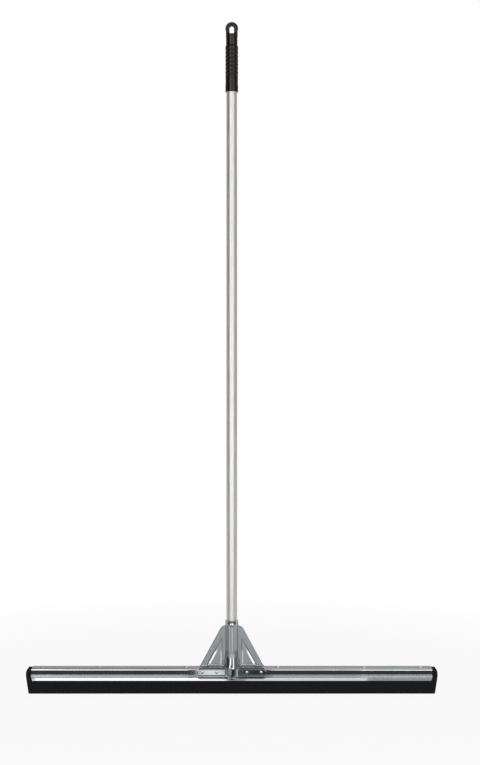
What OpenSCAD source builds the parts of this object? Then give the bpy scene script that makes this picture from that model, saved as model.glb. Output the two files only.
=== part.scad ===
// Floor squeegee with two sponge rubber blades in a steel channel and an aluminium handle.
// Millimetres. X runs along the blades, Z is up, the front faces -Y, and the floor is at Z = 0.

/* [Blades] */
// Length of each blade
blade_length = 900; // [780:1:1000]
// Height of blade that shows under the channel
blade_drop = 28.8; // [20:0.2:40]
// Thickness of each blade at the floor
blade_thickness = 12; // [9:0.5:13]
// Gap between the two blades at the floor
blade_gap = 10; // [9:0.5:14]
// How far each blade end stands out of the channel
blade_overhang = 12; // [6:0.5:20]
// How far each blade end draws in towards the floor
blade_end_taper = 6; // [0:0.5:10]

/* [Channel] */
// Thickness of the channel's sheet
channel_sheet = 1.2; // [0.8:0.1:1.5]
// Depth of the channel across its flat sides
channel_depth = 32; // [30:0.5:40]
// Height of the channel, from its lip to its top face
channel_height = 26.2; // [25:0.2:32]
// Outer radius of the shoulder between the top face and the sides
shoulder_radius = 4; // [2.5:0.5:5]
// Height of the flared lip
lip_height = 8; // [6:0.5:9]
// How far the lip flares out
lip_flare = 3; // [1.5:0.5:4]
// How far the bead above the lip stands out of the side
bead_out = 2.2; // [1.5:0.1:3]
// Radius of the lower corners at the channel's ends
channel_corner = 4.5; // [2:0.5:6]

/* [Rivets along the top] */
// Distance of the first rivets from the middle
first_rivet = 101; // [90:1:130]
// Distance from the first rivets to the next
rivet_pitch = 190; // [150:1:200]
// Distance of the last rivets from the channel's ends
end_rivet = 23; // [12:1:40]
// Diameter of a rivet's head
top_head_d = 11; // [8:0.5:12]
// Height of a rivet's head
top_head_h = 1.4; // [0.8:0.1:2.4]

/* [Core rail] */
// Thickness of the rail's sheet
rail_sheet = 1.2; // [0.8:0.1:1.5]
// Width of the rail
rail_width = 10; // [9:0.5:12]
// Height of the rail
rail_height = 20; // [17:0.5:21]
// How far each leg of the rail splays out to pinch its blade
rail_splay = 2.4; // [1:0.2:3]

/* [Bracket] */
// Thickness of the bracket's sheet
bracket_sheet = 2; // [1.5:0.1:2.2]
// Width of the bracket's foot
foot_width = 150; // [140:1:170]
// Height of the foot's lower edge above the channel's lip
foot_rise = 4.4; // [3.5:0.2:7]
// Radius of the foot's lower corners
foot_corner = 6; // [3:0.5:8]
// Height over which the foot's upper ends slant, below the channel's top
foot_slant = 8; // [5:0.5:10]
// Height of the socket's rim above the channel
socket_height = 103; // [96:1:115]
// How far the socket's rim flares out
rim_flare = 0.6; // [0.2:0.1:1]
// Height of the wings' top edge above the channel
wing_height = 91; // [80:1:92]
// Width across the wings' top edge
wing_top_width = 43; // [38:0.5:48]
// Width across the wings where they meet the foot
wing_foot_width = 142; // [130:1:142]
// Distance of each wing's face from the middle plane
wing_face = 5.2; // [4.8:0.1:6]
// Radius of the wings' top corners
wing_corner = 5; // [3:0.5:7]
// Distance of each pressed groove from the socket's axis
groove_inner = 20.5; // [20:0.5:26]
// Width of the plain band between a wing's edge and its groove
groove_margin = 11.5; // [11:0.5:16]
// Height of the groove's lower edge above the channel
groove_rise = 3.5; // [3.5:0.5:7]
// Width of the groove beside the socket and along its lower edge
groove_width = 4.8; // [4.8:0.1:6]
// Width of the groove along the wing's slanted edge
groove_slant_width = 6; // [6:0.5:9]
// Radius of the groove's corners
groove_corner = 2.5; // [1.5:0.5:3]
// Distance of the nose's front from the middle plane
nose_front = 24.5; // [23:0.5:27]
// Radius of the nose
nose_radius = 17; // [16.5:0.5:18]
// Height of the nose's centre above the channel's lip
nose_rise = 15; // [14:0.5:18]
// Height above the channel at which the socket starts to flare into the nose
flare_height = 29; // [24:1:36]
// Distance of the outer rivets from the foot's ends
foot_rivet_end = 11; // [9:0.5:16]
// Distance from the outer rivets to the inner ones
foot_rivet_pitch = 31; // [24:0.5:34]
// Diameter of a foot rivet's head
foot_head_d = 7.5; // [6.5:0.5:7.5]
// Height of a foot rivet's head
foot_head_h = 1.8; // [1:0.1:2.4]

/* [Clamp screw] */
// Distance of the clamp screw below the socket's rim
screw_drop = 8.5; // [7:0.5:10]
// Diameter of the screw's head
screw_head_d = 10.5; // [8:0.5:11]
// Height of the screw's head
screw_head_h = 3; // [2:0.5:4]
// Diameter of the screw's shank
screw_d = 5; // [4:0.5:6]

/* [Handle] */
// Diameter of the tube
tube_d = 23.5; // [22:0.1:25]
// Wall of the tube
tube_wall = 1.25; // [0.8:0.05:2]
// Length of the handle with its grip
handle_length = 1415.3; // [1100:1:1500]
// Length of the grip
grip_length = 153.5; // [140:0.5:180]
// Diameter of the grip
grip_d = 28.2; // [28:0.1:32]
// Diameter of the grip's neck below the eye
neck_d = 25.3; // [24:0.1:28]
// Height of the plain band at the grip's lower end
grip_band = 17; // [12:0.5:22]
// Distance between the grip's grooves
grip_groove_pitch = 8.8; // [7:0.1:9]
// Depth of the grip's grooves
grip_groove_depth = 0.8; // [0.3:0.1:1]
// Thickness of the eye
eye_thickness = 14; // [10:0.5:18]
// Width of the eye's hole
eye_hole_width = 9.6; // [7:0.1:12]
// Height of the eye's hole
eye_hole_height = 16; // [12:0.5:18]
// Material above the eye's hole
eye_rim = 8.8; // [7:0.1:10]

/* [Clearances] */
// Between the socket and the tube, on each side
socket_clearance = 0.3; // [0.2:0.05:0.5]
// Between the grip and the tube, on each side
grip_clearance = 0.1; // [0.05:0.05:0.3]
// Between the blades and the metal round them
blade_clearance = 0.3; // [0.2:0.05:0.5]
// Between the bracket and the channel
foot_clearance = 0.05; // [0.02:0.01:0.2]
// Between the two bracket halves
seam = 0.2; // [0.1:0.05:0.4]
// Between a rivet and its hole, on each side
rivet_clearance = 0.1; // [0.05:0.05:0.2]
// Between the clamp screw's shank and its hole, on each side
screw_clearance = 0.15; // [0.1:0.05:0.3]
// Between the clamp screw's tip and the tube
tip_clearance = 0.3; // [0.2:0.05:0.5]

/* [Hidden] */
$fn = 64;

// Colours
zinc = "#a9afb3";
aluminium = "#c4c4c2";
sponge = "#1b1b1b";
moulding = "#242221";

// Steps of a rounded corner, and a little extra for cuts that must break through
corner_steps = 5;
cap_steps = 10;
through = 1;
slack = 0.01;

// Channel: heights, the corners of its section as [depth, height], and their bend radii
channel_bottom = blade_drop;
channel_top = channel_bottom + channel_height;
channel_length = blade_length - 2 * blade_overhang;
mid_sheet = channel_sheet / 2;
side = channel_depth / 2 - mid_sheet;
bead_fall = 2.4;
bead_inset = 1.2;
bead_rise = 3;
bead_root_bend = 2.4;
bead_bend = 1.4;
crease_bend = 1.8;
crease_height = channel_bottom + lip_height;
bead_height = crease_height + bead_fall;
channel_half = [
    [side, channel_top - mid_sheet],
    [side, bead_height + bead_rise],
    [side + bead_out, bead_height],
    [side + bead_out - bead_inset, crease_height],
    [side + bead_out - bead_inset + lip_flare, channel_bottom]
];
channel_bends = [shoulder_radius - mid_sheet, bead_root_bend, bead_bend, crease_bend];
channel_corners = both_sides(channel_half);
channel_radii = both_ends(channel_bends);

// Core rail: the corners of its section
rail_mid = rail_sheet / 2;
rail_top = channel_top - channel_sheet;
rail_bottom = rail_top - rail_height;
rail_leg = rail_width / 2 - rail_mid;
splay_height = 4.5;
rail_bend = 1.1;
splay_bend = 2;
rail_inset = 2;
rail_half = [
    [rail_leg, rail_top - rail_mid],
    [rail_leg, rail_bottom + splay_height],
    [rail_leg + rail_splay, rail_bottom]
];
rail_bends = [rail_bend, splay_bend];
leg_way = unit(rail_half[2] - rail_half[1]);
leg_out = left_of(rail_half[1], rail_half[2]);
rail_length = channel_length - 2 * rail_inset;

// Blades
blade_inner = blade_gap / 2;
blade_outer = blade_inner + blade_thickness;
blade_top = rail_top - blade_clearance;
blade_settle = 6;
bulge_height = channel_bottom + channel_height / 2;
bulge_flat = 8;
bulge_radius = 20;
blade_shoulder = 3;
blade_shoulder_radius = 4;
blade_foot_radius = 1;

// Rivets
top_rivet_x = [
    channel_length / 2 - end_rivet, first_rivet + rivet_pitch, first_rivet
];
frame_rivet_x = concat(-top_rivet_x, [for (i = [2:-1:0]) top_rivet_x[i]]);
foot_rivet_outer = foot_width / 2 - foot_rivet_end;
foot_rivet_inner = foot_rivet_outer - foot_rivet_pitch;
foot_rivet_x = [-foot_rivet_outer, -foot_rivet_inner, foot_rivet_inner, foot_rivet_outer];
foot_inner = mid_sheet + foot_clearance;
foot_outer = foot_inner + bracket_sheet;
panel_face = side + foot_outer;
bend_room = 0.2;
panel_low = shifted(channel_corners, foot_outer)[len(channel_half) + 1][1] + bend_room;
panel_high = channel_top - shoulder_radius;
foot_rivet_z = (panel_low + panel_high) / 2;
top_shank_d = 4.8;
foot_shank_d = 4.2;
top_hole_d = top_shank_d + 2 * rivet_clearance;
foot_hole_d = foot_shank_d + 2 * rivet_clearance;
rivet_tail = 1.4;
rivet_tail_grow = 1.6;
rivet_tail_edge = 0.4;

// Bracket
tube_r = tube_d / 2;
socket_r = tube_r + socket_clearance + bracket_sheet;
socket_rim = channel_top + socket_height;
rim_gap = 0.2;
rim_height = screw_drop - screw_head_d / 2 - rim_gap;
wing_top = channel_top + wing_height;
foot_bottom = channel_bottom + foot_rise;
nose_axis = nose_front - nose_radius;
nose_centre = channel_bottom + nose_rise;
flare_lead = 0.5;
flare_start_inset = 0.65;
flare_end_inset = 0.4;
flare_end_rise = 1;
flare_start = [flare_lead, channel_top + flare_height];
flare_start_r = socket_r - flare_start_inset;
flare_end = [nose_axis, channel_top + flare_end_rise];
flare_end_r = nose_radius - flare_end_inset;
nose_margin = 1;
wing_sunk = 12;
wing_slope = [wing_foot_width - wing_top_width, 2 * (channel_top - wing_top)] / 2;
wing_out = unit([-wing_slope[1], wing_slope[0]]);
wing_edge = wing_out * [wing_top_width / 2, wing_top];
groove_depth = wing_face - bracket_sheet - seam / 2;
groove_wall = 2.2;
groove_skin_share = 0.6;
groove_skin = groove_skin_share * bracket_sheet;

// Clamp screw
screw_z = socket_rim - screw_drop;
screw_seat = socket_r;
screw_tip = tube_r + tip_clearance;
slot_width = 1.2;
slot_depth = 1.4;

// Handle
tube_bottom = channel_top;
grip_top = tube_bottom + handle_length;
grip_bottom = grip_top - grip_length;
grip_r = grip_d / 2;
neck_r = neck_d / 2;
eye_centre = grip_top - grip_r;
eye_hole_top = grip_top - eye_rim;
eye_hole_bottom = eye_hole_top - eye_hole_height;
eye_base_drop = 5.3;
eye_base = eye_hole_bottom - eye_base_drop;
eye_ledge = 0.4;
eye_straight = 2.5;
eye_flat_rise = 2;
eye_bend = 2.5;
eye_top_round = 4;
neck_height = 20;
neck_bottom = eye_base - neck_height;
grip_shoulder = 5;
tube_stop = 4;
tube_top = neck_bottom - tube_stop;
grip_bore = tube_r + grip_clearance;
waist_depth = 0.35;
waist_height = 16;
waist_slope = 2;
grip_foot_edge = 1.2;
groove_half = 1.6;
first_groove_rise = 5;
first_groove = grip_bottom + grip_band + waist_height + first_groove_rise;
last_groove_drop = 4.6;
last_groove = neck_bottom - grip_shoulder - last_groove_drop;
grip_grooves = 1 + floor((last_groove - first_groove) / grip_groove_pitch);

// Geometry helpers

function unit(v) = v / norm(v);

// A list backwards
function reversed(list) = [for (i = [len(list) - 1:-1:0]) list[i]];

// A half section completed by its mirror image, from the far side to the near side
function both_sides(half) = concat([for (p = reversed(half)) [-p[0], p[1]]], half);

// The bend radii that go with both_sides
function both_ends(radii) = concat(reversed(radii), radii);

// Points of an arc
function arc(centre, r, from, to, steps = corner_steps) =
    [for (i = [0:steps]) let (a = from + (to - from) * i / steps) centre + r * [cos(a), sin(a)]];

// The corner q between p and s, rounded to radius r
function round_corner(p, q, s, r) =
    let (
        u = unit(p - q),
        v = unit(s - q),
        half = acos(u * v) / 2,
        centre = q + unit(u + v) * r / sin(half),
        start = q + u * r / tan(half) - centre,
        end = q + v * r / tan(half) - centre,
        from = atan2(start[1], start[0]),
        sweep = (atan2(end[1], end[0]) - from + 900) % 360 - 180
    )
    arc(centre, r, from, from + sweep);

// An open path with its inner corners rounded
function bent(corners, radii) =
    concat(
        [corners[0]],
        [for (i = [1:len(corners) - 2])
            each round_corner(corners[i - 1], corners[i], corners[i + 1], radii[i - 1])],
        [corners[len(corners) - 1]]
    );

// A closed outline with every corner rounded
function rounded(corners, radii) =
    let (n = len(corners))
    [for (i = [0:n - 1])
        each round_corner(corners[(i + n - 1) % n], corners[i], corners[(i + 1) % n], radii[i])];

// The left normal of the step from p to q
function left_of(p, q) = unit([p[1] - q[1], q[0] - p[0]]);

// An open path moved sideways by d, to its left
function shifted(path, d) =
    [for (i = [0:len(path) - 1])
        let (
            before = left_of(path[max(i - 1, 0)], path[max(i, 1)]),
            after = left_of(path[min(i, len(path) - 2)], path[min(i + 1, len(path) - 1)])
        )
        path[i] + d * (before + after) / (1 + before * after)];

// Which way a path turns at its inner corners: 1 to the right, -1 to the left
function turns(path) =
    [for (i = [1:len(path) - 2]) -sign(cross(path[i] - path[i - 1], path[i + 1] - path[i]))];

// The face of a bent sheet at distance d to the left of its middle
least_bend = 0.3;
function sheet_face(corners, radii, d) =
    let (t = turns(corners))
    bent(shifted(corners, d), [for (i = [0:len(radii) - 1]) max(least_bend, radii[i] + t[i] * d)]);

// The section of a bent sheet between two faces
module sheet_section(corners, radii, from, to) {
    polygon(concat(sheet_face(corners, radii, to), reversed(sheet_face(corners, radii, from))));
}

// A section in [Y, Z] drawn out along X, centred
module along_x(length) {
    translate([-length / 2, 0, 0])
        rotate([90, 0, 90])
            linear_extrude(length)
                children();
}

// An outline in [X, Z] drawn out along Y
module along_y(from, to) {
    translate([0, to, 0])
        rotate([90, 0, 0])
            linear_extrude(to - from)
                children();
}

// The same piece on the front side
module front() {
    mirror([0, 1, 0])
        children();
}

// A tapered bar with round ends between two places [Y, Z] in the middle plane
module round_bar(p, q, p_r, q_r) {
    way = q - p;
    run = norm(way);
    lean = asin((p_r - q_r) / run);
    profile = concat(
        arc([0, 0], p_r, -90, lean, cap_steps),
        arc([0, run], q_r, lean, 90, cap_steps)
    );
    translate([0, p[0], p[1]])
        rotate([-atan2(way[0], way[1]), 0, 0])
            rotate_extrude()
                polygon(profile);
}

// A domed rivet along Z: its head stands on Z = 0, its shank goes down through a grip
module rivet(head_d, head_h, shank_d, grip) {
    dome_r = (head_d * head_d / 4 + head_h * head_h) / (2 * head_h);
    dome = asin(head_d / 2 / dome_r);
    tail_r = shank_d / 2 + rivet_tail_grow / 2;
    tail = -grip - rivet_tail;
    rotate_extrude()
        polygon(concat(
            [[0, tail], [tail_r - rivet_tail_edge, tail], [tail_r, tail + rivet_tail_edge]],
            [[tail_r, -grip], [shank_d / 2, -grip], [shank_d / 2, 0]],
            arc([0, head_h - dome_r], dome_r, 90 - dome, 90)
        ));
}

// Channel and rail

// Outline of the channel seen from the front
module channel_outline() {
    half = channel_length / 2;
    top_corner = 1.5;
    polygon(rounded(
        [[-half, channel_bottom], [half, channel_bottom], [half, channel_top], [-half, channel_top]],
        [channel_corner, channel_corner, top_corner, top_corner]
    ));
}

module frame_channel() {
    color(zinc)
        difference() {
            intersection() {
                along_x(channel_length)
                    sheet_section(channel_corners, channel_radii, -mid_sheet, mid_sheet);
                along_y(-channel_depth, channel_depth)
                    channel_outline();
            }
            for (x = frame_rivet_x)
                translate([x, 0, channel_top - channel_sheet - through])
                    cylinder(d = top_hole_d, h = channel_sheet + 2 * through);
            for (x = foot_rivet_x)
                translate([x, 0, foot_rivet_z])
                    rotate([90, 0, 0])
                        cylinder(d = foot_hole_d, h = 2 * channel_depth, center = true);
        }
}

module core_rail() {
    color(zinc)
        difference() {
            along_x(rail_length)
                sheet_section(both_sides(rail_half), both_ends(rail_bends), -rail_mid, rail_mid);
            for (x = frame_rivet_x)
                translate([x, 0, rail_top - rail_sheet - through])
                    cylinder(d = top_hole_d, h = rail_sheet + 2 * through);
        }
}

module frame_rivet(i) {
    color(zinc)
        translate([frame_rivet_x[i], 0, channel_top])
            rivet(top_head_d, top_head_h, top_shank_d, channel_sheet + rail_sheet);
}

// Blades

// Section of the rear blade: inside the channel it fills the space between channel and rail
module blade_section() {
    outer_face = sheet_face(channel_corners, channel_radii, -mid_sheet - blade_clearance);
    inner_face = sheet_face(both_sides(rail_half), both_ends(rail_bends), rail_mid + blade_clearance);
    outer_low = crease_height - crease_bend / 2;
    outer = [for (p = outer_face) if (p[0] < 0 && p[1] > outer_low) [-p[0], min(p[1], blade_top)]];
    rail_side = rail_width / 2 + blade_clearance;
    inner = [for (p = inner_face) if (p[0] > rail_side - slack) p];
    leg_end = rail_half[2] + leg_way * blade_clearance;
    leg_side = leg_out * (rail_mid + blade_clearance);
    polygon(concat(
        [[blade_inner, 0], [blade_outer, 0], [blade_outer, channel_bottom]],
        outer,
        [[rail_side, blade_top]],
        inner,
        [leg_end + leg_side, leg_end - leg_side],
        [[blade_inner, rail_bottom - blade_settle]]
    ));
}

// Outline of a blade seen from the front, with soft top corners and ends that draw in below
module blade_outline() {
    half = blade_length / 2;
    right = [
        [half - blade_end_taper, 0],
        [half, bulge_height - bulge_flat / 2],
        [half, bulge_height + bulge_flat / 2],
        [half - blade_shoulder, blade_top]
    ];
    radii = [blade_foot_radius, bulge_radius, bulge_radius, blade_shoulder_radius];
    polygon(rounded(
        concat(right, [for (p = reversed(right)) [-p[0], p[1]]]),
        concat(radii, reversed(radii))
    ));
}

module blade() {
    tail_d = foot_shank_d + rivet_tail_grow + 2 * blade_clearance;
    pocket = side - mid_sheet - rivet_tail - blade_clearance;
    difference() {
        intersection() {
            along_x(blade_length)
                blade_section();
            along_y(0, channel_depth)
                blade_outline();
        }
        for (x = foot_rivet_x)
            translate([x, pocket, foot_rivet_z])
                rotate([-90, 0, 0])
                    cylinder(d = tail_d, h = channel_depth);
    }
}

module front_blade() {
    color(sponge)
        front()
            blade();
}

module rear_blade() {
    color(sponge)
        blade();
}

// Bracket

// Distance of a wing's slanted edge from the middle at a level, drawn in by band
function wing_reach(z, band) = (wing_edge - band - wing_out[1] * z) / wing_out[0];

// Corners [X, Z] of the triangle beside the socket, above a level and inside the wing's slanted edge
function wing_triangle(inner, low, band) =
    let (high = (wing_edge - band - wing_out[0] * inner) / wing_out[1])
    [[inner, low], [wing_reach(low, band), low], [inner, high]];

// The groove's outline and its island, grown by g
function groove_triangle(g) =
    wing_triangle(groove_inner - g, channel_top + groove_rise - g, groove_margin - g);
function island_triangle(g) =
    wing_triangle(
        groove_inner + groove_width - g,
        channel_top + groove_rise + groove_width - g,
        groove_margin + groove_slant_width - g
    );

// A triangle [X, Z] pressed into the wing from depth y, drawn in by run over its depth
module pressed_triangle(corners, corner_r, y, depth, run) {
    a = norm(corners[1] - corners[2]);
    b = norm(corners[2] - corners[0]);
    c = norm(corners[0] - corners[1]);
    middle = (a * corners[0] + b * corners[1] + c * corners[2]) / (a + b + c);
    inner_r = abs(cross(corners[1] - corners[0], corners[2] - corners[0])) / (a + b + c);
    outline = rounded([for (p = corners) p - middle], [corner_r, corner_r, corner_r]);
    translate([middle[0], y, middle[1]])
        rotate([90, 0, 0])
            linear_extrude(depth, scale = 1 - run / inner_r)
                polygon(outline);
}

// The grooves of both wings, sunk from depth y and grown by g
module wing_grooves(y, g) {
    island_r = 1.2;
    island_depth = groove_depth + 2 * through;
    for (way = [0, 1])
        mirror([way, 0, 0])
            difference() {
                pressed_triangle(groove_triangle(g), groove_corner, y, groove_depth, groove_wall);
                pressed_triangle(island_triangle(-g), island_r, y + through, island_depth, -groove_wall);
            }
}

// Outline of both wings, drawn in by g
module wing_outline(g) {
    drop = wing_sunk / abs(wing_slope[1]) * wing_slope[0];
    low = [wing_foot_width / 2 + drop, channel_top - wing_sunk];
    high = [wing_top_width / 2, wing_top];
    corners = [[-low[0], low[1]], [-high[0], high[1]], high, low];
    inside = shifted(corners, -g);
    polygon(concat([inside[0]], bent(inside, [wing_corner - g, wing_corner - g]), [inside[3]]));
}

// The space that the pressed half fills, drawn in by g: socket, flare, nose and wings
module bracket_form(g) {
    rim = g > 0 ? through : 0;
    translate([0, 0, channel_top - through])
        cylinder(r = socket_r - g, h = socket_height + through + rim);
    translate([0, 0, socket_rim - rim_height])
        cylinder(r1 = socket_r - g, r2 = socket_r - g + rim_flare, h = rim_height + slack * sign(g));
    round_bar(flare_start, flare_end, flare_start_r - g, flare_end_r - g);
    round_bar([nose_axis, nose_centre], flare_end, nose_radius - g, nose_radius - g);
    along_y(-wing_face, wing_face - g)
        wing_outline(g);
}

// Outline of the foot seen from the front: a rounded strip, slanted like the wings at its upper ends,
// with a lobe round the nose
module foot_outline() {
    half = foot_width / 2;
    high = channel_top + 2 * bracket_sheet;
    lobe_depth = side + bead_out + foot_outer - nose_axis;
    lobe_r = sqrt(nose_radius * nose_radius - lobe_depth * lobe_depth) + nose_margin;
    slant_low = channel_top - foot_slant;
    slant_half = min(half, wing_reach(high, 0));
    intersection() {
        polygon(rounded(
            [[-half, foot_bottom], [half, foot_bottom], [half, high], [-half, high]],
            [foot_corner, foot_corner, bracket_sheet / 2, bracket_sheet / 2]
        ));
        polygon([
            [-half, foot_bottom], [half, foot_bottom], [half, slant_low],
            [slant_half, high], [-slant_half, high], [-half, slant_low]
        ]);
    }
    translate([0, nose_centre])
        circle(r = lobe_r);
}

// The sheet of the foot, which lies on the channel's top and side
module foot_sheet() {
    intersection() {
        along_x(foot_width)
            sheet_section(channel_corners, channel_radii, foot_inner, foot_outer);
        along_y(0, nose_front)
            foot_outline();
    }
}

// The space that the channel takes, with the foot's clearance
module channel_space() {
    face = sheet_face(channel_corners, channel_radii, foot_inner);
    last = len(face) - 1;
    along_x(2 * foot_width)
        polygon(concat(face, [[face[last][0], 0], [face[0][0], 0]]));
}

// The rear half of the bracket
module bracket() {
    far = foot_width;
    difference() {
        union() {
            difference() {
                bracket_form(0);
                wing_grooves(wing_face, 0);
            }
            foot_sheet();
        }
        difference() {
            bracket_form(bracket_sheet);
            wing_grooves(wing_face - bracket_sheet, groove_skin);
        }
        channel_space();
        translate([-far, seam / 2 - 2 * far, -through])
            cube(2 * far);
        for (x = foot_rivet_x)
            translate([x, 0, foot_rivet_z])
                rotate([-90, 0, 0])
                    cylinder(d = foot_hole_d, h = 2 * channel_depth);
    }
}

module front_bracket() {
    color(zinc)
        difference() {
            front()
                bracket();
            translate([0, 0, screw_z])
                rotate([90, 0, 0])
                    cylinder(d = screw_d + 2 * screw_clearance, h = 2 * socket_r);
        }
}

module rear_bracket() {
    color(zinc)
        bracket();
}

// A rear rivet of the foot
module foot_rivet(i) {
    translate([foot_rivet_x[i], panel_face, foot_rivet_z])
        rotate([-90, 0, 0])
            rivet(foot_head_d, foot_head_h, foot_shank_d, bracket_sheet + foot_clearance + channel_sheet);
}

module front_bracket_rivet(i) {
    color(zinc)
        front()
            foot_rivet(i);
}

module rear_bracket_rivet(i) {
    color(zinc)
        foot_rivet(i);
}

module clamp_screw() {
    edge = 0.6;
    color(zinc)
        difference() {
            translate([0, 0, screw_z])
                rotate([90, 0, 0])
                    rotate_extrude()
                        polygon(concat(
                            [[0, screw_tip], [screw_d / 2 - edge, screw_tip]],
                            [[screw_d / 2, screw_tip + edge]],
                            [[screw_d / 2, screw_seat], [screw_head_d / 2, screw_seat]],
                            arc([screw_head_d / 2 - edge, screw_seat + screw_head_h - edge], edge, 0, 90),
                            [[0, screw_seat + screw_head_h]]
                        ));
            translate([0, -screw_seat - screw_head_h, screw_z])
                cube([slot_width, 2 * slot_depth, 2 * screw_head_d], center = true);
        }
}

// Handle

module handle_tube() {
    color(aluminium)
        translate([0, 0, tube_bottom])
            difference() {
                cylinder(r = tube_r, h = tube_top - tube_bottom);
                translate([0, 0, -through])
                    cylinder(r = tube_r - tube_wall, h = tube_top - tube_bottom + 2 * through);
            }
}

// Half profile [radius, height] of one groove round the grip
function grip_groove(z) =
    [
        [grip_r, z - groove_half],
        [grip_r - grip_groove_depth, z - groove_half / 3],
        [grip_r - grip_groove_depth, z + groove_half / 3],
        [grip_r, z + groove_half]
    ];

// The turned body of the grip, up to the top of its neck, just inside the eye
module grip_body() {
    waist_r = grip_r - waist_depth;
    waist_low = grip_bottom + grip_band;
    waist_high = waist_low + waist_height;
    neck_top = eye_base + eye_straight / 2;
    rotate_extrude()
        polygon(concat(
            [[0, grip_bottom], [grip_r - grip_foot_edge, grip_bottom]],
            [[grip_r, grip_bottom + grip_foot_edge]],
            [[grip_r, waist_low - waist_slope], [waist_r, waist_low]],
            [[waist_r, waist_high], [grip_r, waist_high + waist_slope]],
            [for (i = [0:grip_grooves - 1]) each grip_groove(first_groove + i * grip_groove_pitch)],
            [[grip_r, neck_bottom - grip_shoulder], [neck_r, neck_bottom]],
            [[neck_r, neck_top], [0, neck_top]]
        ));
}

// Outline of the eye seen from the front
module eye_outline() {
    translate([0, eye_centre])
        circle(r = grip_r);
    side_x = neck_r + eye_ledge;
    translate([-side_x, eye_base])
        square([2 * side_x, eye_centre - eye_base]);
}

// The eye's hole: round on top, nearly flat below
module eye_hole() {
    half = eye_hole_width / 2;
    corner = half / 2;
    round_z = eye_hole_top - half;
    low = [[-half, round_z], [-half, eye_hole_bottom], [half, eye_hole_bottom], [half, round_z]];
    step = 180 / cap_steps;
    polygon(concat(
        bent(low, [corner, corner]),
        arc([0, round_z], half, step, 180 - step, cap_steps - 2)
    ));
}

// The eye thins from a round base on the neck to a flat loop
module grip_eye() {
    half = eye_thickness / 2;
    right = [
        [neck_r + eye_ledge, eye_base],
        [neck_r + eye_ledge, eye_base + eye_straight],
        [half, eye_hole_bottom + eye_flat_rise],
        [half, grip_top]
    ];
    radii = [least_bend, eye_bend, eye_bend, eye_top_round];
    intersection() {
        along_y(-grip_r, grip_r)
            eye_outline();
        along_x(grip_d)
            polygon(rounded(
                concat(right, [for (p = reversed(right)) [-p[0], p[1]]]),
                concat(radii, reversed(radii))
            ));
        translate([0, 0, eye_base])
            cylinder(r = grip_r, h = grip_length);
    }
}

module handle_grip() {
    color(moulding)
        difference() {
            union() {
                grip_body();
                grip_eye();
            }
            translate([0, 0, grip_bottom - through])
                cylinder(r = grip_bore, h = tube_top - grip_bottom + through);
            along_y(-grip_d, grip_d)
                eye_hole();
        }
}

frame_channel();
core_rail();
front_blade();
rear_blade();
for (i = [0:5])
    frame_rivet(i);
front_bracket();
rear_bracket();
for (i = [0:3])
    front_bracket_rivet(i);
for (i = [0:3])
    rear_bracket_rivet(i);
clamp_screw();
handle_tube();
handle_grip();
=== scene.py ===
# %% [markdown]
# # A floor squeegee, dressed over its CAD frame
# The frame holds every rigid piece at its real place and size. This lesson gives those pieces the looks
# of the photographed tool: rolled and pressed steel, a satin tube, sponge rubber and a moulded grip. The
# first cell loads the frame and keeps its box, because nothing that is made here may grow out of it.

import math

import bmesh
import bpy
import numpy as np
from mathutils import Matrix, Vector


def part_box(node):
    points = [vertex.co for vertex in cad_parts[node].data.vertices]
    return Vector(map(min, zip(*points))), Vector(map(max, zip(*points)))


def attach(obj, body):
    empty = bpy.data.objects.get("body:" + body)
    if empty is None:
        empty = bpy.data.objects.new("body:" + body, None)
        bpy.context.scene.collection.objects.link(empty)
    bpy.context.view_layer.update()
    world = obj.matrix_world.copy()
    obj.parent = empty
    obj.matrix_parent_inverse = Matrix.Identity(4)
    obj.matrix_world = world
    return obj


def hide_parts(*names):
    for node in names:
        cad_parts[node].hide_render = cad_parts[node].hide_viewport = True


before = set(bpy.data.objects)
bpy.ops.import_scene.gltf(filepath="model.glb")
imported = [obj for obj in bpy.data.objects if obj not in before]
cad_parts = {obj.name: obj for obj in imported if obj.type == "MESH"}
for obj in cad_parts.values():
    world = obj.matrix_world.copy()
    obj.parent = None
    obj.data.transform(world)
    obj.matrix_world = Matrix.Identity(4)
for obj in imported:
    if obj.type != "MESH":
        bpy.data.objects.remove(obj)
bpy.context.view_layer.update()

# %% [markdown]
# Blender counts in metres, but a squeegee is drawn in millimetres. All pieces below are drawn in
# millimetres and scaled once, where a mesh is made. Only the weld distance, the lamps and the floor are
# given in metres. A node's box is the anchor for the piece that stands for the node.

# %% Millimetres
MM = 0.001


def node_box(node):
    """The lowest and highest corner of a CAD node, in millimetres."""
    low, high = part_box(node)
    return np.array(low) / MM, np.array(high) / MM


tube_low, tube_high = node_box("handle_tube")
print("tube from", tube_low.round(1), "to", tube_high.round(1))

# %% [markdown]
# Nearly every piece here is a grid of points: a profile repeated along a line or round an axis. It could
# be made with modifiers, but a grid that is computed has its edges exactly where the bends are. Points
# that fall together, such as at the tip of a dome, are welded, and faces that meet at a steep angle keep
# a crisp edge.

# %% Pieces from grids
WELD_DISTANCE = 1e-7
CREASE = 40


def grid_faces(rows, columns, wrap_rows=False, wrap_columns=False):
    """The four-sided faces of a grid of points that is numbered row by row."""
    row, column = np.meshgrid(
        np.arange(rows if wrap_rows else rows - 1),
        np.arange(columns if wrap_columns else columns - 1),
        indexing="ij",
    )
    next_row = (row + 1) % rows
    next_column = (column + 1) % columns
    corners = [
        row * columns + column,
        row * columns + next_column,
        next_row * columns + next_column,
        next_row * columns + column,
    ]
    return np.stack(corners, axis=-1).reshape(-1, 4).tolist()


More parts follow.
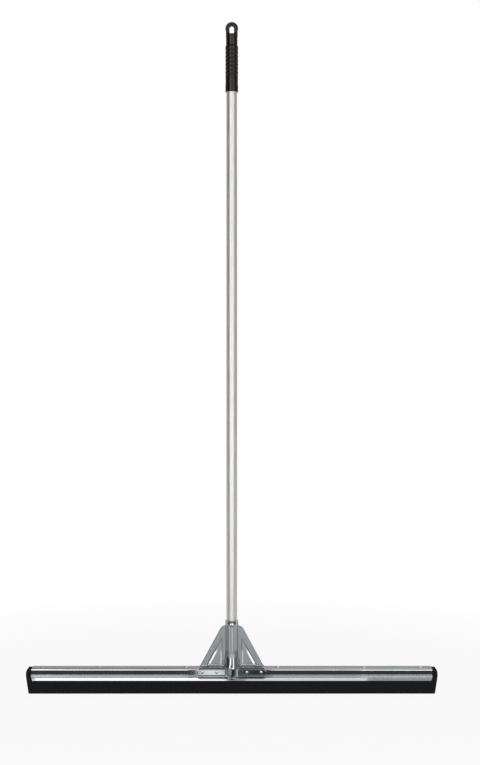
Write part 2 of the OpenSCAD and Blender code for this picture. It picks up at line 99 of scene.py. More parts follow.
def new_piece(name, points, faces, crease=CREASE, marks=None):
    """A welded, smooth piece from points in millimetres; edges sharper than crease degrees stay crisp.

    Marks are named lists with one number for every point."""
    mesh = bpy.data.meshes.new(name)
    mesh.from_pydata((np.reshape(points, (-1, 3)) * MM).tolist(), [], faces)
    for mark, values in (marks or {}).items():
        mesh.attributes.new(mark, "FLOAT", "POINT").data.foreach_set("value", np.ravel(values))
    work = bmesh.new()
    work.from_mesh(mesh)
    bmesh.ops.remove_doubles(work, verts=work.verts, dist=WELD_DISTANCE)
    bmesh.ops.recalc_face_normals(work, faces=work.faces)
    work.to_mesh(mesh)
    work.free()
    mesh.shade_smooth()
    mesh.set_sharp_from_angle(angle=math.radians(crease))
    piece = bpy.data.objects.new(name, mesh)
    bpy.context.scene.collection.objects.link(piece)
    print(name, "has", len(mesh.polygons), "faces")
    return piece


def dress(piece, body, nodes, finish):
    """Gives a piece its finish, sets it on its body and lets it stand for its CAD nodes."""
    piece.data.materials.append(finish)
    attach(piece, body)
    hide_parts(*nodes)


print("a grid of 3 by 3 points has", len(grid_faces(3, 3)), "faces")

# %% [markdown]
# ## The camera
# The photograph is taken from the front, level, and from a few metres away: the tube's sides stay
# parallel, and the channel's top face shows as a thin strip, because the lens is at the height of the
# handle's middle. An orthographic camera would hide that strip, so this one has a long lens at that
# distance.

# %% Photo camera
CAMERA_PLACE = (18.0, -3000.0, 679.6)
CAMERA_LENS = 64.3

camera_data = bpy.data.cameras.new("photo_camera")
camera_data.lens = CAMERA_LENS
camera = bpy.data.objects.new("photo_camera", camera_data)
camera.location = [value * MM for value in CAMERA_PLACE]
camera.rotation_euler = (math.radians(90), 0, 0)
bpy.context.scene.collection.objects.link(camera)
bpy.context.scene.camera = camera
bpy.context.scene.view_settings.view_transform = "Standard"
print("camera at", [round(value, 3) for value in camera.location])

# %% [markdown]
# ## Nodes in one line
# Finishes, the floor and the world are all node trees. They could be clicked together by hand, but a
# script is easier to repeat. This helper adds a node, sets it up and joins its inputs: a value is written
# on the socket, and another node's output is linked to it. A Mix node has sockets for numbers and for
# colours, and the names below say which are which.

# %% Node helper
FACTOR, FIRST_NUMBER, SECOND_NUMBER, NUMBER_RESULT = 0, 2, 3, 0
FIRST_COLOUR, SECOND_COLOUR, COLOUR_RESULT = 6, 7, 2


def add_node(tree, kind, inputs=None, **settings):
    """Adds a node; an input is either a value or the output of another node."""
    node = tree.nodes.new(kind)
    for setting, value in settings.items():
        setattr(node, setting, value)
    for socket, value in (inputs or {}).items():
        if isinstance(value, bpy.types.NodeSocket):
            tree.links.new(value, node.inputs[socket])
        else:
            node.inputs[socket].default_value = value
    return node


def ramp(tree, value, low, high, to_low, to_high):
    """Maps a value smoothly from one range to another."""
    inputs = {"Value": value, "From Min": low, "From Max": high, "To Min": to_low, "To Max": to_high}
    return add_node(tree, "ShaderNodeMapRange", inputs, interpolation_type="SMOOTHSTEP").outputs["Result"]


def blend(tree, factor, first, second):
    """Mixes two numbers."""
    inputs = {FACTOR: factor, FIRST_NUMBER: first, SECOND_NUMBER: second}
    return add_node(tree, "ShaderNodeMix", inputs).outputs[NUMBER_RESULT]


def product(tree, first, second):
    """Multiplies two numbers."""
    return add_node(tree, "ShaderNodeMath", {0: first, 1: second}, operation="MULTIPLY").outputs[0]


print("node helpers", [helper.__name__ for helper in (add_node, ramp, blend, product)])

# %% [markdown]
# ## The room
# Bright metal shows its room more than its own colour. The photographed steel has white faces, dark bands
# and grey edges, so the room is grey behind and high in front, darker on the right, and darkest on the
# left and low in front. Low at the sides and behind, the room stands in for the white floor, which metal
# would mirror there. A photographed room would need a picture file, so the world paints this one by
# direction. Each span below is a stretch of one axis of the direction. The camera itself sees plain white
# behind the tool.

# %% World
FRONT_LOW_LEVEL = 0.05
FRONT_HIGH_LEVEL = 0.4
LEFT_LEVEL = 0.05
RIGHT_LEVEL = 0.24
BACK_LOW_LEVEL = 0.3
BACK_LEVEL = 0.36
FLOOR_LEVEL = 0.9
CAMERA_LEVEL = 1.0
FRONT_RISE = (-0.15, 0.4)
SIDE_SPAN = (-0.7, 0.7)
BACK_RISE = (-0.34, 0.02)
BESIDE_SPAN = (-0.9, -0.45)
BEHIND_SPAN = (-0.2, 0.35)
FLOOR_RISE = (-0.2, -0.165)
PAST_FRONT_SPAN = (-0.5, -0.1)

world = bpy.data.worlds.new("studio")
bpy.context.scene.world = world
world.use_nodes = True
sky = world.node_tree
direction = add_node(sky, "ShaderNodeTexCoord").outputs["Generated"]
axes = add_node(sky, "ShaderNodeSeparateXYZ", {"Vector": direction}).outputs
front_level = ramp(sky, axes["Z"], *FRONT_RISE, FRONT_LOW_LEVEL, FRONT_HIGH_LEVEL)
side_level = ramp(sky, axes["X"], *SIDE_SPAN, LEFT_LEVEL, RIGHT_LEVEL)
back_level = ramp(sky, axes["Z"], *BACK_RISE, BACK_LOW_LEVEL, BACK_LEVEL)
beside = ramp(sky, axes["Y"], *BESIDE_SPAN, 0.0, 1.0)
behind = ramp(sky, axes["Y"], *BEHIND_SPAN, 0.0, 1.0)
room_level = blend(sky, behind, blend(sky, beside, front_level, side_level), back_level)
low_down = ramp(sky, axes["Z"], *FLOOR_RISE, 1.0, 0.0)
past_front = ramp(sky, axes["Y"], *PAST_FRONT_SPAN, 0.0, 1.0)
room_level = blend(sky, product(sky, low_down, past_front), room_level, FLOOR_LEVEL)
seen_by_camera = add_node(sky, "ShaderNodeLightPath").outputs["Is Camera Ray"]
level = blend(sky, seen_by_camera, room_level, CAMERA_LEVEL)
sky.links.new(level, sky.nodes["Background"].inputs["Strength"])
sky.nodes["Background"].inputs["Color"].default_value = (1.0, 1.0, 1.0, 1.0)
print("world nodes", len(sky.nodes))

# %% [markdown]
# ## Lamps
# Polished sheet is lit by what it mirrors, so nearly every lamp is there for one streak in the
# photograph. Two tall soft boxes left and right of the camera draw the bright strip down the satin tube.
# The low boxes shine along the shoulder and the bead of the channel, and the lip boxes, high in front,
# along its lower lip. The high boxes give the nose of the bracket its two white streaks. A narrow card
# beside the camera is mirrored in the left half of the foot, and a box behind lights the back. The wide
# fill only lifts the black rubber and plastic, so metal doesn't mirror it. A sun lamp would be quicker to
# set up, but steel would show it as a few hard points.

# %% Soft boxes


def soft_box(name, place, aim, size, level, mirrored=True):
    """A rectangular lamp in metres, aimed at a point; level is how bright its face looks."""
    lamp = bpy.data.lights.new(name, "AREA")
    lamp.shape = "RECTANGLE"
    lamp.size, lamp.size_y = size
    lamp.energy = level * math.pi * size[0] * size[1]
    holder = bpy.data.objects.new(name, lamp)
    holder.location = place
    course = np.array(aim) - np.array(place)
    heading = math.atan2(course[0], course[1])
    pitch = math.atan2(course[2], math.hypot(course[0], course[1]))
    holder.rotation_euler = (math.radians(90) + pitch, 0, -heading)
    holder.visible_camera = False
    holder.visible_glossy = mirrored
    bpy.context.scene.collection.objects.link(holder)


soft_box("left_box", place=(-1.42, -2.5, 0.56), aim=(-0.3, 0.0, 0.56), size=(0.9, 1.78), level=2.1)
soft_box("right_box", place=(1.34, -2.5, 0.56), aim=(0.3, 0.0, 0.56), size=(0.95, 1.78), level=1.8)
soft_box("left_low_box", place=(-0.56, -2.5, 0.17), aim=(-0.56, 0.0, 0.17), size=(0.74, 0.68), level=2.3)
soft_box("right_low_box", place=(0.32, -2.5, 0.17), aim=(0.32, 0.0, 0.17), size=(0.36, 0.68), level=2.1)
soft_box("right_far_low_box", place=(0.67, -2.5, 0.17), aim=(0.67, 0.0, 0.17), size=(0.34, 0.68), level=3.6)
soft_box("left_high_box", place=(-1.25, -2.45, 2.15), aim=(0.0, 0.0, 0.1), size=(0.8, 1.3), level=2.3)
soft_box("right_high_box", place=(1.4, -2.35, 2.15), aim=(0.0, 0.0, 0.1), size=(0.8, 1.3), level=2.3)
soft_box("left_lip_box", place=(-0.45, -2.3, 1.85), aim=(-0.45, 0.0, 0.04), size=(0.82, 1.15), level=1.05)
soft_box("right_lip_box", place=(0.3, -2.3, 1.85), aim=(0.3, 0.0, 0.04), size=(0.52, 1.15), level=0.5)
soft_box("card", place=(-0.1025, -3.05, 0.0), aim=(-0.1025, 0.0, 0.0), size=(0.125, 1.7), level=1.7)
soft_box("rear_box", place=(0.5, 2.3, 2.0), aim=(0.0, 0.0, 0.2), size=(1.4, 1.0), level=1.6)
soft_box("fill_box", place=(0.6, -3.6, 1.6), aim=(0.0, 0.0, 0.6), size=(4.0, 3.0), level=0.4, mirrored=False)
print("lamps", [item.name for item in bpy.data.lights])

# %% [markdown]
# ## The floor
# The tool stands on a pale floor that runs out into the white behind it. A large plane would show a
# horizon, so this is a disc that fades to nothing towards its rim. It keeps a soft shadow under the
# blades. To the camera it is mostly white of its own. Metal doesn't mirror it, because the world stands
# in for it there, and it doesn't shade the lamps that reach below its level.

# %% Floor
FLOOR_RADIUS = 1.6
FLOOR_RIM = 72
FLOOR_TINT = (0.9, 0.9, 0.9, 1.0)
FLOOR_WHITE_SHARE = 0.9
FADE_START = 0.55
FADE_END = 0.95 * FLOOR_RADIUS

floor_mesh = bpy.data.meshes.new("floor")
floor_work = bmesh.new()
bmesh.ops.create_circle(floor_work, cap_ends=True, segments=FLOOR_RIM, radius=FLOOR_RADIUS)
floor_work.to_mesh(floor_mesh)
floor_work.free()
floor = bpy.data.objects.new("floor", floor_mesh)
bpy.context.scene.collection.objects.link(floor)
floor.visible_glossy = False
floor.visible_shadow = False

floor_finish = bpy.data.materials.new("pale_floor")
floor_finish.use_nodes = True
floor_tree = floor_finish.node_tree
floor_tree.nodes.clear()
spot = add_node(floor_tree, "ShaderNodeTexCoord").outputs["Object"]
from_middle = add_node(floor_tree, "ShaderNodeVectorMath", {0: spot}, operation="LENGTH").outputs["Value"]
matt = add_node(floor_tree, "ShaderNodeBsdfDiffuse", {"Color": FLOOR_TINT}).outputs[0]
white = add_node(floor_tree, "ShaderNodeEmission", {"Strength": 1.0}).outputs[0]
camera_ray = add_node(floor_tree, "ShaderNodeLightPath").outputs["Is Camera Ray"]
white_share = blend(floor_tree, camera_ray, 0.0, FLOOR_WHITE_SHARE)
lit = add_node(floor_tree, "ShaderNodeMixShader", {0: white_share, 1: matt, 2: white}).outputs[0]
clear = add_node(floor_tree, "ShaderNodeBsdfTransparent").outputs[0]
fade = ramp(floor_tree, from_middle, FADE_START, FADE_END, 0.0, 1.0)
faded = add_node(floor_tree, "ShaderNodeMixShader", {0: fade, 1: lit, 2: clear}).outputs[0]
add_node(floor_tree, "ShaderNodeOutputMaterial", {"Surface": faded})
floor.data.materials.append(floor_finish)
print("floor radius", FLOOR_RADIUS)

# %% [markdown]
# ## Finishes
# Every finish on the tool has the same three ingredients: noise that shifts its colour between two tints,
# the same noise in its roughness, and a fine relief. Pictures of metal or rubber could do this too, but
# noise has no seams and holds at any distance. The small helpers here add those ingredients to a new
# material.

# %% Finish helpers


def new_finish(name):
    """A new material, its node tree and its shader."""
    finish = bpy.data.materials.new(name)
    finish.use_nodes = True
    return finish, finish.node_tree, finish.node_tree.nodes["Principled BSDF"]


def noise(tree, place, look):
    """Noise with a look: its scale, its detail and its roughness."""
    return add_node(tree, "ShaderNodeTexNoise", {"Vector": place, **look}).outputs["Fac"]


def two_tints(tree, value, span, dark, light):
    """A colour that goes from a dark to a light tint while a value crosses a span."""
    tint = add_node(tree, "ShaderNodeValToRGB", {"Fac": value})
    for element, position, colour in zip(tint.color_ramp.elements, span, (dark, light)):
        element.position = position
        element.color = (*colour, 1.0)
    return tint.outputs["Color"]


def join_shader(tree, shader, colour, gloss, height, relief):
    """Joins colour, roughness and height to a shader; relief is how deep the height goes, in millimetres."""
    tree.links.new(colour, shader.inputs["Base Color"])
    tree.links.new(gloss, shader.inputs["Roughness"])
    bump = add_node(tree, "ShaderNodeBump", {"Strength": 1.0, "Distance": relief * MM, "Height": height})
    tree.links.new(bump.outputs["Normal"], shader.inputs["Normal"])


print("finish helpers", [helper.__name__ for helper in (new_finish, noise, two_tints, join_shader)])

# %% [markdown]
# All metals follow one recipe. Noise that is stretched along the working direction gives the grain, and a
# broad, weak noise adds the smudges of handling. A metal that takes marks also reads three marks that a
# mesh carries on its points: one paints highlights into its colour, one paints shade into it, and polished
# smooths it. They are written where the bracket is made.

# %% Metal recipe
GRAIN_LOOK = {"Scale": 1.0, "Detail": 5.0, "Roughness": 0.6}
SMUDGE_LOOK = {"Scale": 22.0, "Detail": 3.0, "Roughness": 0.5}
SMUDGE_SHARE = 0.5
METAL_SPAN = (0.3, 0.7)
# Tints of the painted highlight and of the painted shade that the marks mix into the colour
PAINTED_HIGHLIGHT_TINT = (0.95, 0.96, 0.97, 1.0)
PAINTED_SHADE_TINT = (0.09, 0.095, 0.1, 1.0)
POLISHED_SHARE = 0.14


def mark_share(tree, mark):
    """How strong a mark is on the mesh."""
    return add_node(tree, "ShaderNodeAttribute", attribute_name=mark).outputs["Fac"]


def marked(tree, colour, mark, tint):
    """Shifts a colour to a tint where the mesh carries a mark."""
    inputs = {FACTOR: mark_share(tree, mark), FIRST_COLOUR: colour, SECOND_COLOUR: tint}
    return add_node(tree, "ShaderNodeMix", inputs, data_type="RGBA").outputs[COLOUR_RESULT]


def metal_finish(name, dark, light, roughness, stretch, relief, takes_marks=False):
    """A metal with two tints, a range of roughness, and a grain with a scale on each axis and a relief."""
    finish, tree, shader = new_finish(name)
    shader.inputs["Metallic"].default_value = 1.0
    place = add_node(tree, "ShaderNodeTexCoord").outputs["Object"]
    drawn = add_node(tree, "ShaderNodeMapping", {"Vector": place, "Scale": stretch}).outputs["Vector"]
    grain = noise(tree, drawn, GRAIN_LOOK)
    both = blend(tree, SMUDGE_SHARE, grain, noise(tree, place, SMUDGE_LOOK))
    colour = two_tints(tree, both, METAL_SPAN, dark, light)
    gloss = ramp(tree, both, *METAL_SPAN, *roughness)
    if takes_marks:
        # Painted highlight and painted shade from the mesh's marks, then polish as a lower roughness
        colour = marked(tree, colour, "painted_highlight", PAINTED_HIGHLIGHT_TINT)
        colour = marked(tree, colour, "painted_shade", PAINTED_SHADE_TINT)
        left_rough = ramp(tree, mark_share(tree, "polished"), 0.0, 1.0, 1.0, POLISHED_SHARE)
        gloss = product(tree, gloss, left_rough)
    join_shader(tree, shader, colour, gloss, grain, relief)
    return finish


print("metal recipe with marks that lighten to", PAINTED_HIGHLIGHT_TINT[:3], "and darken to", PAINTED_SHADE_TINT[:3])

# %% [markdown]
# Four metals are on the tool. The channel is rolled lengthwise and polished, and mirrors its room almost
# sharply. Rivets and screw are much the same steel, but turned and a little duller. The bracket is
# pressed from zinc plated sheet with a satin bloom, and the tube is drawn aluminium with fine lines along
# it. Each could have its own nodes, but one recipe with other numbers keeps them a family.

# %% Metals
bright_steel = metal_finish(
    "bright_rolled_steel",
    dark=(0.64, 0.655, 0.68),
    light=(0.74, 0.755, 0.77),
    roughness=(0.03, 0.045),
    stretch=(6.0, 900.0, 900.0),
    relief=0.0004,
)
fastener_steel = metal_finish(
    "turned_fastener_steel",
    dark=(0.6, 0.615, 0.635),
    light=(0.72, 0.735, 0.75),
    roughness=(0.06, 0.09),
    stretch=(300.0, 300.0, 300.0),
    relief=0.0015,
)
zinc_sheet = metal_finish(
    "zinc_plated_sheet",
    dark=(0.375, 0.40, 0.41),
    light=(0.47, 0.495, 0.515),
    roughness=(0.48, 0.58),
    stretch=(420.0, 420.0, 420.0),
    relief=0.003,
    takes_marks=True,
)
satin_tube = metal_finish(
    "satin_drawn_tube",
    dark=(0.86, 0.85, 0.83),
    light=(0.94, 0.93, 0.91),
    roughness=(0.42, 0.5),
    stretch=(1400.0, 1400.0, 5.0),
    relief=0.003,
)
print("metals", [metal.name for metal in (bright_steel, fastener_steel, zinc_sheet, satin_tube)])

# %% [markdown]
# Sponge rubber is black and matt, with a skin of tiny closed cells that catches light in specks. The grip
# is a moulded plastic with a low sheen and the fine leathery texture of its mould. A plain black would
# look like a hole in the picture, so both blacks are a little uneven, and a cell pattern in the relief
# breaks up their gloss.

# %% Black finishes
MOTTLE_LOOK = {"Scale": 60.0, "Detail": 6.0, "Roughness": 0.65}
MOTTLE_SPAN = (0.35, 0.65)
GLOSS_SPAN = (0.3, 0.7)


def black_finish(name, dark, light, roughness, cell, relief, gloss_level, gloss_tint):
    """A black skin with cells of a size in millimetres, their relief, and the level and tint of its gloss."""
    finish, tree, shader = new_finish(name)
    shader.inputs["Specular IOR Level"].default_value = gloss_level
    shader.inputs["Specular Tint"].default_value = (*gloss_tint, 1.0)
    place = add_node(tree, "ShaderNodeTexCoord").outputs["Object"]
    cell_inputs = {"Vector": place, "Scale": 1.0 / (cell * MM)}
    cells = add_node(tree, "ShaderNodeTexVoronoi", cell_inputs, feature="SMOOTH_F1").outputs["Distance"]
    mottle = noise(tree, place, MOTTLE_LOOK)
    colour = two_tints(tree, mottle, MOTTLE_SPAN, dark, light)
    gloss = ramp(tree, mottle, *GLOSS_SPAN, *roughness)
    join_shader(tree, shader, colour, gloss, cells, relief)
    return finish


sponge_skin = black_finish(
    "sponge_rubber_skin",
    dark=(0.003, 0.003, 0.003),
    light=(0.006, 0.006, 0.006),
    roughness=(0.62, 0.78),
    cell=0.7,
    relief=0.12,
    gloss_level=0.22,
    gloss_tint=(1.0, 1.0, 1.0),
)
moulded_grip = black_finish(
    "moulded_grip_plastic",
    dark=(0.0015, 0.0013, 0.0012),
    light=(0.004, 0.0035, 0.0032),
    roughness=(0.22, 0.34),
    cell=0.35,
    relief=0.02,
    gloss_level=0.55,
    gloss_tint=(1.0, 0.91, 0.85),
)
print("blacks", sponge_skin.name, moulded_grip.name)

# %% [markdown]
# ## The handle tube
# The tube is a plain round tube, but its ends matter: the lower one shows when the handle is pulled out
# of its socket. Two cylinders and a boolean could make it. Here a profile of radius and height is spun
# about the handle's axis, which also gives the fine bevels at the lower end. The same helper later makes
# the grip, the rivets and the screw.

# %% Handle tube
TURNS = 96
TUBE_WALL = 1.25
TUBE_EDGE = 0.25


def turned(name, profile, turns=TURNS, closed=False, axis="Z", centre=(0.0, 0.0, 0.0)):
    """Spins a profile of [radius, height] about an axis through a centre; closed joins its two ends."""
    profile = np.array(profile, float)
    angle = np.linspace(0.0, 2 * math.pi, turns, endpoint=False)
    across = profile[:, :1] * np.cos(angle)
    along = profile[:, :1] * np.sin(angle)
    rise = np.repeat(profile[:, 1:], turns, axis=1)
    order = {"Z": (across, along, rise), "Y": (across, rise, -along)}[axis]
    points = np.stack(order, axis=-1) + np.array(centre)
    faces = grid_faces(len(profile), turns, wrap_rows=closed, wrap_columns=True)
    return new_piece(name, points, faces)


tube_radius = tube_high[0]
bore = tube_radius - TUBE_WALL
bottom, top = tube_low[2], tube_high[2]
tube_profile = [
    (bore + TUBE_EDGE, bottom),
    (tube_radius - TUBE_EDGE, bottom),
    (tube_radius, bottom + TUBE_EDGE),
    (tube_radius, top),
    (bore, top),
    (bore, bottom + TUBE_EDGE),
]
tube = turned("tube", tube_profile, closed=True)
dress(tube, "handle", ["handle_tube"], satin_tube)

# %% [markdown]
# ## The grip
# The grip is one moulding with two characters. Its body is turned: a plain band at the foot, a faint
# waist, ring grooves for the hand and a slimmer neck. The grooves could be cut with booleans, but those
# leave hard edges. Here each one is a smooth dip in the radius, so that it catches a soft highlight.

# %% Grip body
GRIP_STEP = 0.3
GRIP_BAND = 17.0
BAND_BLEND = 2.0
WAIST_TOP = 33.0
WAIST_DEPTH = 0.35
FIRST_GROOVE = 38.0
GROOVE_PITCH = 8.8
GROOVES = 7
GROOVE_DEPTH = 0.75
GROOVE_HALF = 1.9
GROOVE_POWER = 1.5
NECK_RADIUS = 12.65
NECK_HEIGHT = 20.0
NECK_OVERLAP = 1.0
SHOULDER = 5.0
EYE_BASE = 1440.2
FOOT_ROUND = 1.4
MOUTH_GAP = 0.1
MOUTH_DEPTH = 12.0

grip_low, grip_high = node_box("handle_grip")
grip_bottom, grip_radius = grip_low[2], grip_high[0]


def smooth_step(value, low, high):
    """Goes smoothly from 0 at low to 1 at high."""
    share = np.clip((value - low) / (high - low), 0.0, 1.0)
    return share * share * (3 - 2 * share)


height = np.arange(0.0, EYE_BASE + NECK_OVERLAP - grip_bottom, GRIP_STEP)
neck_start = EYE_BASE - NECK_HEIGHT - grip_bottom
radius = grip_radius - WAIST_DEPTH * smooth_step(height, GRIP_BAND - BAND_BLEND, GRIP_BAND)
radius += WAIST_DEPTH * smooth_step(height, WAIST_TOP, WAIST_TOP + BAND_BLEND)
for groove in range(GROOVES):
    off = (height - FIRST_GROOVE - groove * GROOVE_PITCH) / GROOVE_HALF
    radius -= GROOVE_DEPTH * np.clip(1 - off * off, 0.0, 1.0) ** GROOVE_POWER
radius -= (grip_radius - NECK_RADIUS) * smooth_step(height, neck_start - SHOULDER, neck_start)
round_share = np.clip(1 - height / FOOT_ROUND, 0.0, 1.0)
radius -= FOOT_ROUND * (1 - np.sqrt(1 - round_share**2))
mouth = tube_radius + MOUTH_GAP
grip_profile = [(mouth, grip_bottom + MOUTH_DEPTH), (mouth, grip_bottom)]
grip_profile += list(zip(radius, height + grip_bottom))
grip_profile.append((0.0, EYE_BASE + NECK_OVERLAP))
grip_body = turned("grip_body", grip_profile)
dress(grip_body, "handle", ["handle_grip"], moulded_grip)

# %% [markdown]
# The top of the grip is a hanging eye: a loop that thins from the round neck to a flat ring. A torus is
# the right family of shape, because a loop has one hole, but a plain torus is round everywhere. Here each
# station round the hole has its own cross-section, which reaches from the hole's rim to the loop's
# outline, or down into the neck where the loop is rooted.

# %% Outlines of the eye
EYE_STATIONS = 168
HOLE_HALF = 4.8
HOLE_TOP = 1461.5
HOLE_BOTTOM = 1445.5
HOLE_CORNER = 2.4
LEDGE = 0.4
ROOT = 1437.0
LONGEST_RAY = 40.0
HALVINGS = 40

eye_centre = grip_high[2] - grip_radius
hole_middle = np.array([0.0, (HOLE_TOP + HOLE_BOTTOM) / 2])
station = np.linspace(0.0, 2 * math.pi, EYE_STATIONS, endpoint=False)
ray = np.stack([np.sin(station), np.cos(station)], axis=-1)


def reach_to(inside):
    """How far each ray from the hole's middle goes before it leaves a region; found by halving."""
    near, far = np.zeros(len(ray)), np.full(len(ray), LONGEST_RAY)
    for _ in range(HALVINGS):
        middle = (near + far) / 2
        spot = hole_middle + ray * middle[:, None]
        within = inside(spot[:, 0], spot[:, 1])
        near, far = np.where(within, middle, near), np.where(within, far, middle)
    return near


def in_hole(x, z):
    """Inside the hole: a round top on a body with rounded lower corners."""
    round_centre = HOLE_TOP - HOLE_HALF
    in_top = (z >= round_centre) & (np.hypot(x, z - round_centre) < HOLE_HALF)
    corner_x = np.maximum(np.abs(x) - (HOLE_HALF - HOLE_CORNER), 0.0)
    corner_z = np.maximum(HOLE_BOTTOM + HOLE_CORNER - z, 0.0)
    return in_top | ((z < round_centre) & (np.hypot(corner_x, corner_z) < HOLE_CORNER))


def in_loop(x, z):
    """Inside the loop's outline: a disc on a straight root that goes down into the neck."""
    disc = np.hypot(x, z - eye_centre) < grip_radius
    root = (z < eye_centre) & (z > ROOT) & (np.abs(x) < NECK_RADIUS + LEDGE)
    return disc | root


inner_reach, outer_reach = reach_to(in_hole), reach_to(in_loop)
print("eye is", round((outer_reach - inner_reach).min(), 1), "mm across where it is thinnest")

# %% [markdown]
# The section itself is a rounded square, bent from a circle with a power. It is flat round the hole and
# swells to the neck's full round at the root. A bevelled plate with a hole would be simpler, but couldn't
# swell like that. Inside the neck it stays a little narrower, so that no face of the eye lies on a face
# of the body.

# %% Grip eye
EYE_SECTION = 56
EYE_SQUARENESS = 0.62
EYE_HALF_THICK = 7.0
EYE_CREASE = 60
SWELL_START = HOLE_BOTTOM + 2.0
SWELL_FULL = EYE_BASE + 1.5
ROOT_INSET = 1.0
LEAST_SQUARE = 1.0


def below(height, top, full):
    """Zero above one level, and smoothly one from a lower level down."""
    return smooth_step(-height, -top, -full)


section = np.linspace(0.0, 2 * math.pi, EYE_SECTION, endpoint=False)
across = np.sign(np.cos(section)) * np.abs(np.cos(section)) ** EYE_SQUARENESS
depth = np.sign(np.sin(section)) * np.abs(np.sin(section)) ** EYE_SQUARENESS
spread = outer_reach[:, None] + (inner_reach - outer_reach)[:, None] * ((1 - across) / 2)
eye_x = ray[:, :1] * spread
eye_z = hole_middle[1] + ray[:, 1:] * spread
root_round = np.sqrt(np.maximum((NECK_RADIUS + LEDGE) ** 2 - eye_x**2, LEAST_SQUARE))
thick = EYE_HALF_THICK + (root_round - EYE_HALF_THICK) * below(eye_z, SWELL_START, SWELL_FULL)
inside_neck = np.sqrt(np.maximum((NECK_RADIUS - ROOT_INSET) ** 2 - eye_x**2, LEAST_SQUARE))
thick = np.where(eye_z < EYE_BASE, np.minimum(thick, inside_neck), thick)
eye_points = np.stack([eye_x, thick * depth, eye_z], axis=-1)
eye_faces = grid_faces(EYE_STATIONS, EYE_SECTION, wrap_rows=True, wrap_columns=True)
grip_eye = new_piece("grip_eye", eye_points, eye_faces, crease=EYE_CREASE)
dress(grip_eye, "handle", ["handle_grip"], moulded_grip)

# %% [markdown]
# ## Bent sheet
# The channel and the bracket are sheet steel, bent into a section. A solidify modifier could thicken a
# bent strip, but in a tight bend its inner face would fold over itself. Here a section is written once,
# as the corners of a path, and each face follows from it with a least radius in its bends. Corners are
# complex numbers, depth plus height times 1j, because a turn is then a product.

# %% Sheet sections
BEND_STEPS = 10
LEAST_BEND = 0.5


def offset_corners(corners, distance):
    """The corners of a path moved sideways, to the left of its course."""
    corners = np.array(corners)
    course = np.diff(corners)
    left = 1j * course / np.abs(course)
    before, after = np.append(left[0], left), np.append(left, left[-1])
    together = 1 + (before * np.conj(after)).real
    return corners + distance * (before + after) / together


def rounded_path(corners, radii):
    """A path through corners, with each inner corner rounded to its radius."""
    path = [corners[0]]
    for before, corner, after, radius in zip(corners, corners[1:], corners[2:], radii):
        back = (before - corner) / abs(before - corner)
        ahead = (after - corner) / abs(after - corner)
        half = abs(np.angle(ahead / back)) / 2
        centre = corner + (back + ahead) / abs(back + ahead) * radius / math.sin(half)
        start = corner + back * radius / math.tan(half) - centre
        end = corner + ahead * radius / math.tan(half) - centre
        turn = np.angle(end / start)
        path += [centre + start * np.exp(1j * turn * step / BEND_STEPS) for step in range(BEND_STEPS + 1)]
    return np.array(path + [corners[-1]])


def sheet_face(corners, bends, distance):
    """One face of a bent sheet, at a distance from its middle; outer bends grow and inner ones shrink."""
    course = np.diff(np.array(corners))
    turns = -np.sign((np.conj(course[:-1]) * course[1:]).imag)
    radii = np.maximum(np.array(bends) + turns * distance, LEAST_BEND)
    return rounded_path(offset_corners(corners, distance), radii)


print("points in a bend", BEND_STEPS + 1)

# %% [markdown]
# ## The channel
# On the real tool the channel is one rolled strip: a flat top with round shoulders, sides with a bead
# pressed along them, and lips that flare out over the blades. It could be traced point by point, but
# corners and bends are how a sheet worker would note it. The corners of its rear half are written out
# here, and the front half is their mirror image, so both sides stay alike.

# %% Channel section
CHANNEL_SHEET = 1.2
CHANNEL_SIDE = 15.4
LIP_HEIGHT = 6.6
LIP_FLARE = 3.0
BEAD_FALL = 2.2
BEAD_RISE = 2.6
BEAD_OUT = 2.2
BEAD_INSET = 1.2
CHANNEL_BENDS = [3.4, 2.4, 1.4, 1.8]

channel_low, channel_high = node_box("frame_channel")
lip_bottom, channel_top = channel_low[2], channel_high[2]
crease_height = lip_bottom + LIP_HEIGHT
bead_height = crease_height + BEAD_FALL
rear_corners = [
    CHANNEL_SIDE + (channel_top - CHANNEL_SHEET / 2) * 1j,
    CHANNEL_SIDE + (bead_height + BEAD_RISE) * 1j,
    CHANNEL_SIDE + BEAD_OUT + bead_height * 1j,
    CHANNEL_SIDE + BEAD_OUT - BEAD_INSET + crease_height * 1j,
    CHANNEL_SIDE + BEAD_OUT - BEAD_INSET + LIP_FLARE + lip_bottom * 1j,
]
channel_corners = [-np.conj(corner) for corner in reversed(rear_corners)] + rear_corners
channel_bends = CHANNEL_BENDS[::-1] + CHANNEL_BENDS
print("channel section", len(channel_corners), "corners")

# %% [markdown]
# The section is drawn out along the channel. An extrude would give square ends, but the lower corners of
# the real channel are rounded off, so each point of the section has its own length. The stations crowd
# towards the ends, where the rounding is.

# %% Channel
CHANNEL_STATIONS = 72
LOWER_CORNER = 4.5
UPPER_CORNER = 1.5


def corner_inset(height, bottom, top, lower, upper):
    """How far the end of a plate draws in at a height, with rounded lower and upper corners."""
    low = np.clip((bottom + lower - height) / lower, 0.0, 1.0)
    high = np.clip((height - top + upper) / upper, 0.0, 1.0)
    return lower * (1 - np.sqrt(1 - low**2)) + upper * (1 - np.sqrt(1 - high**2))


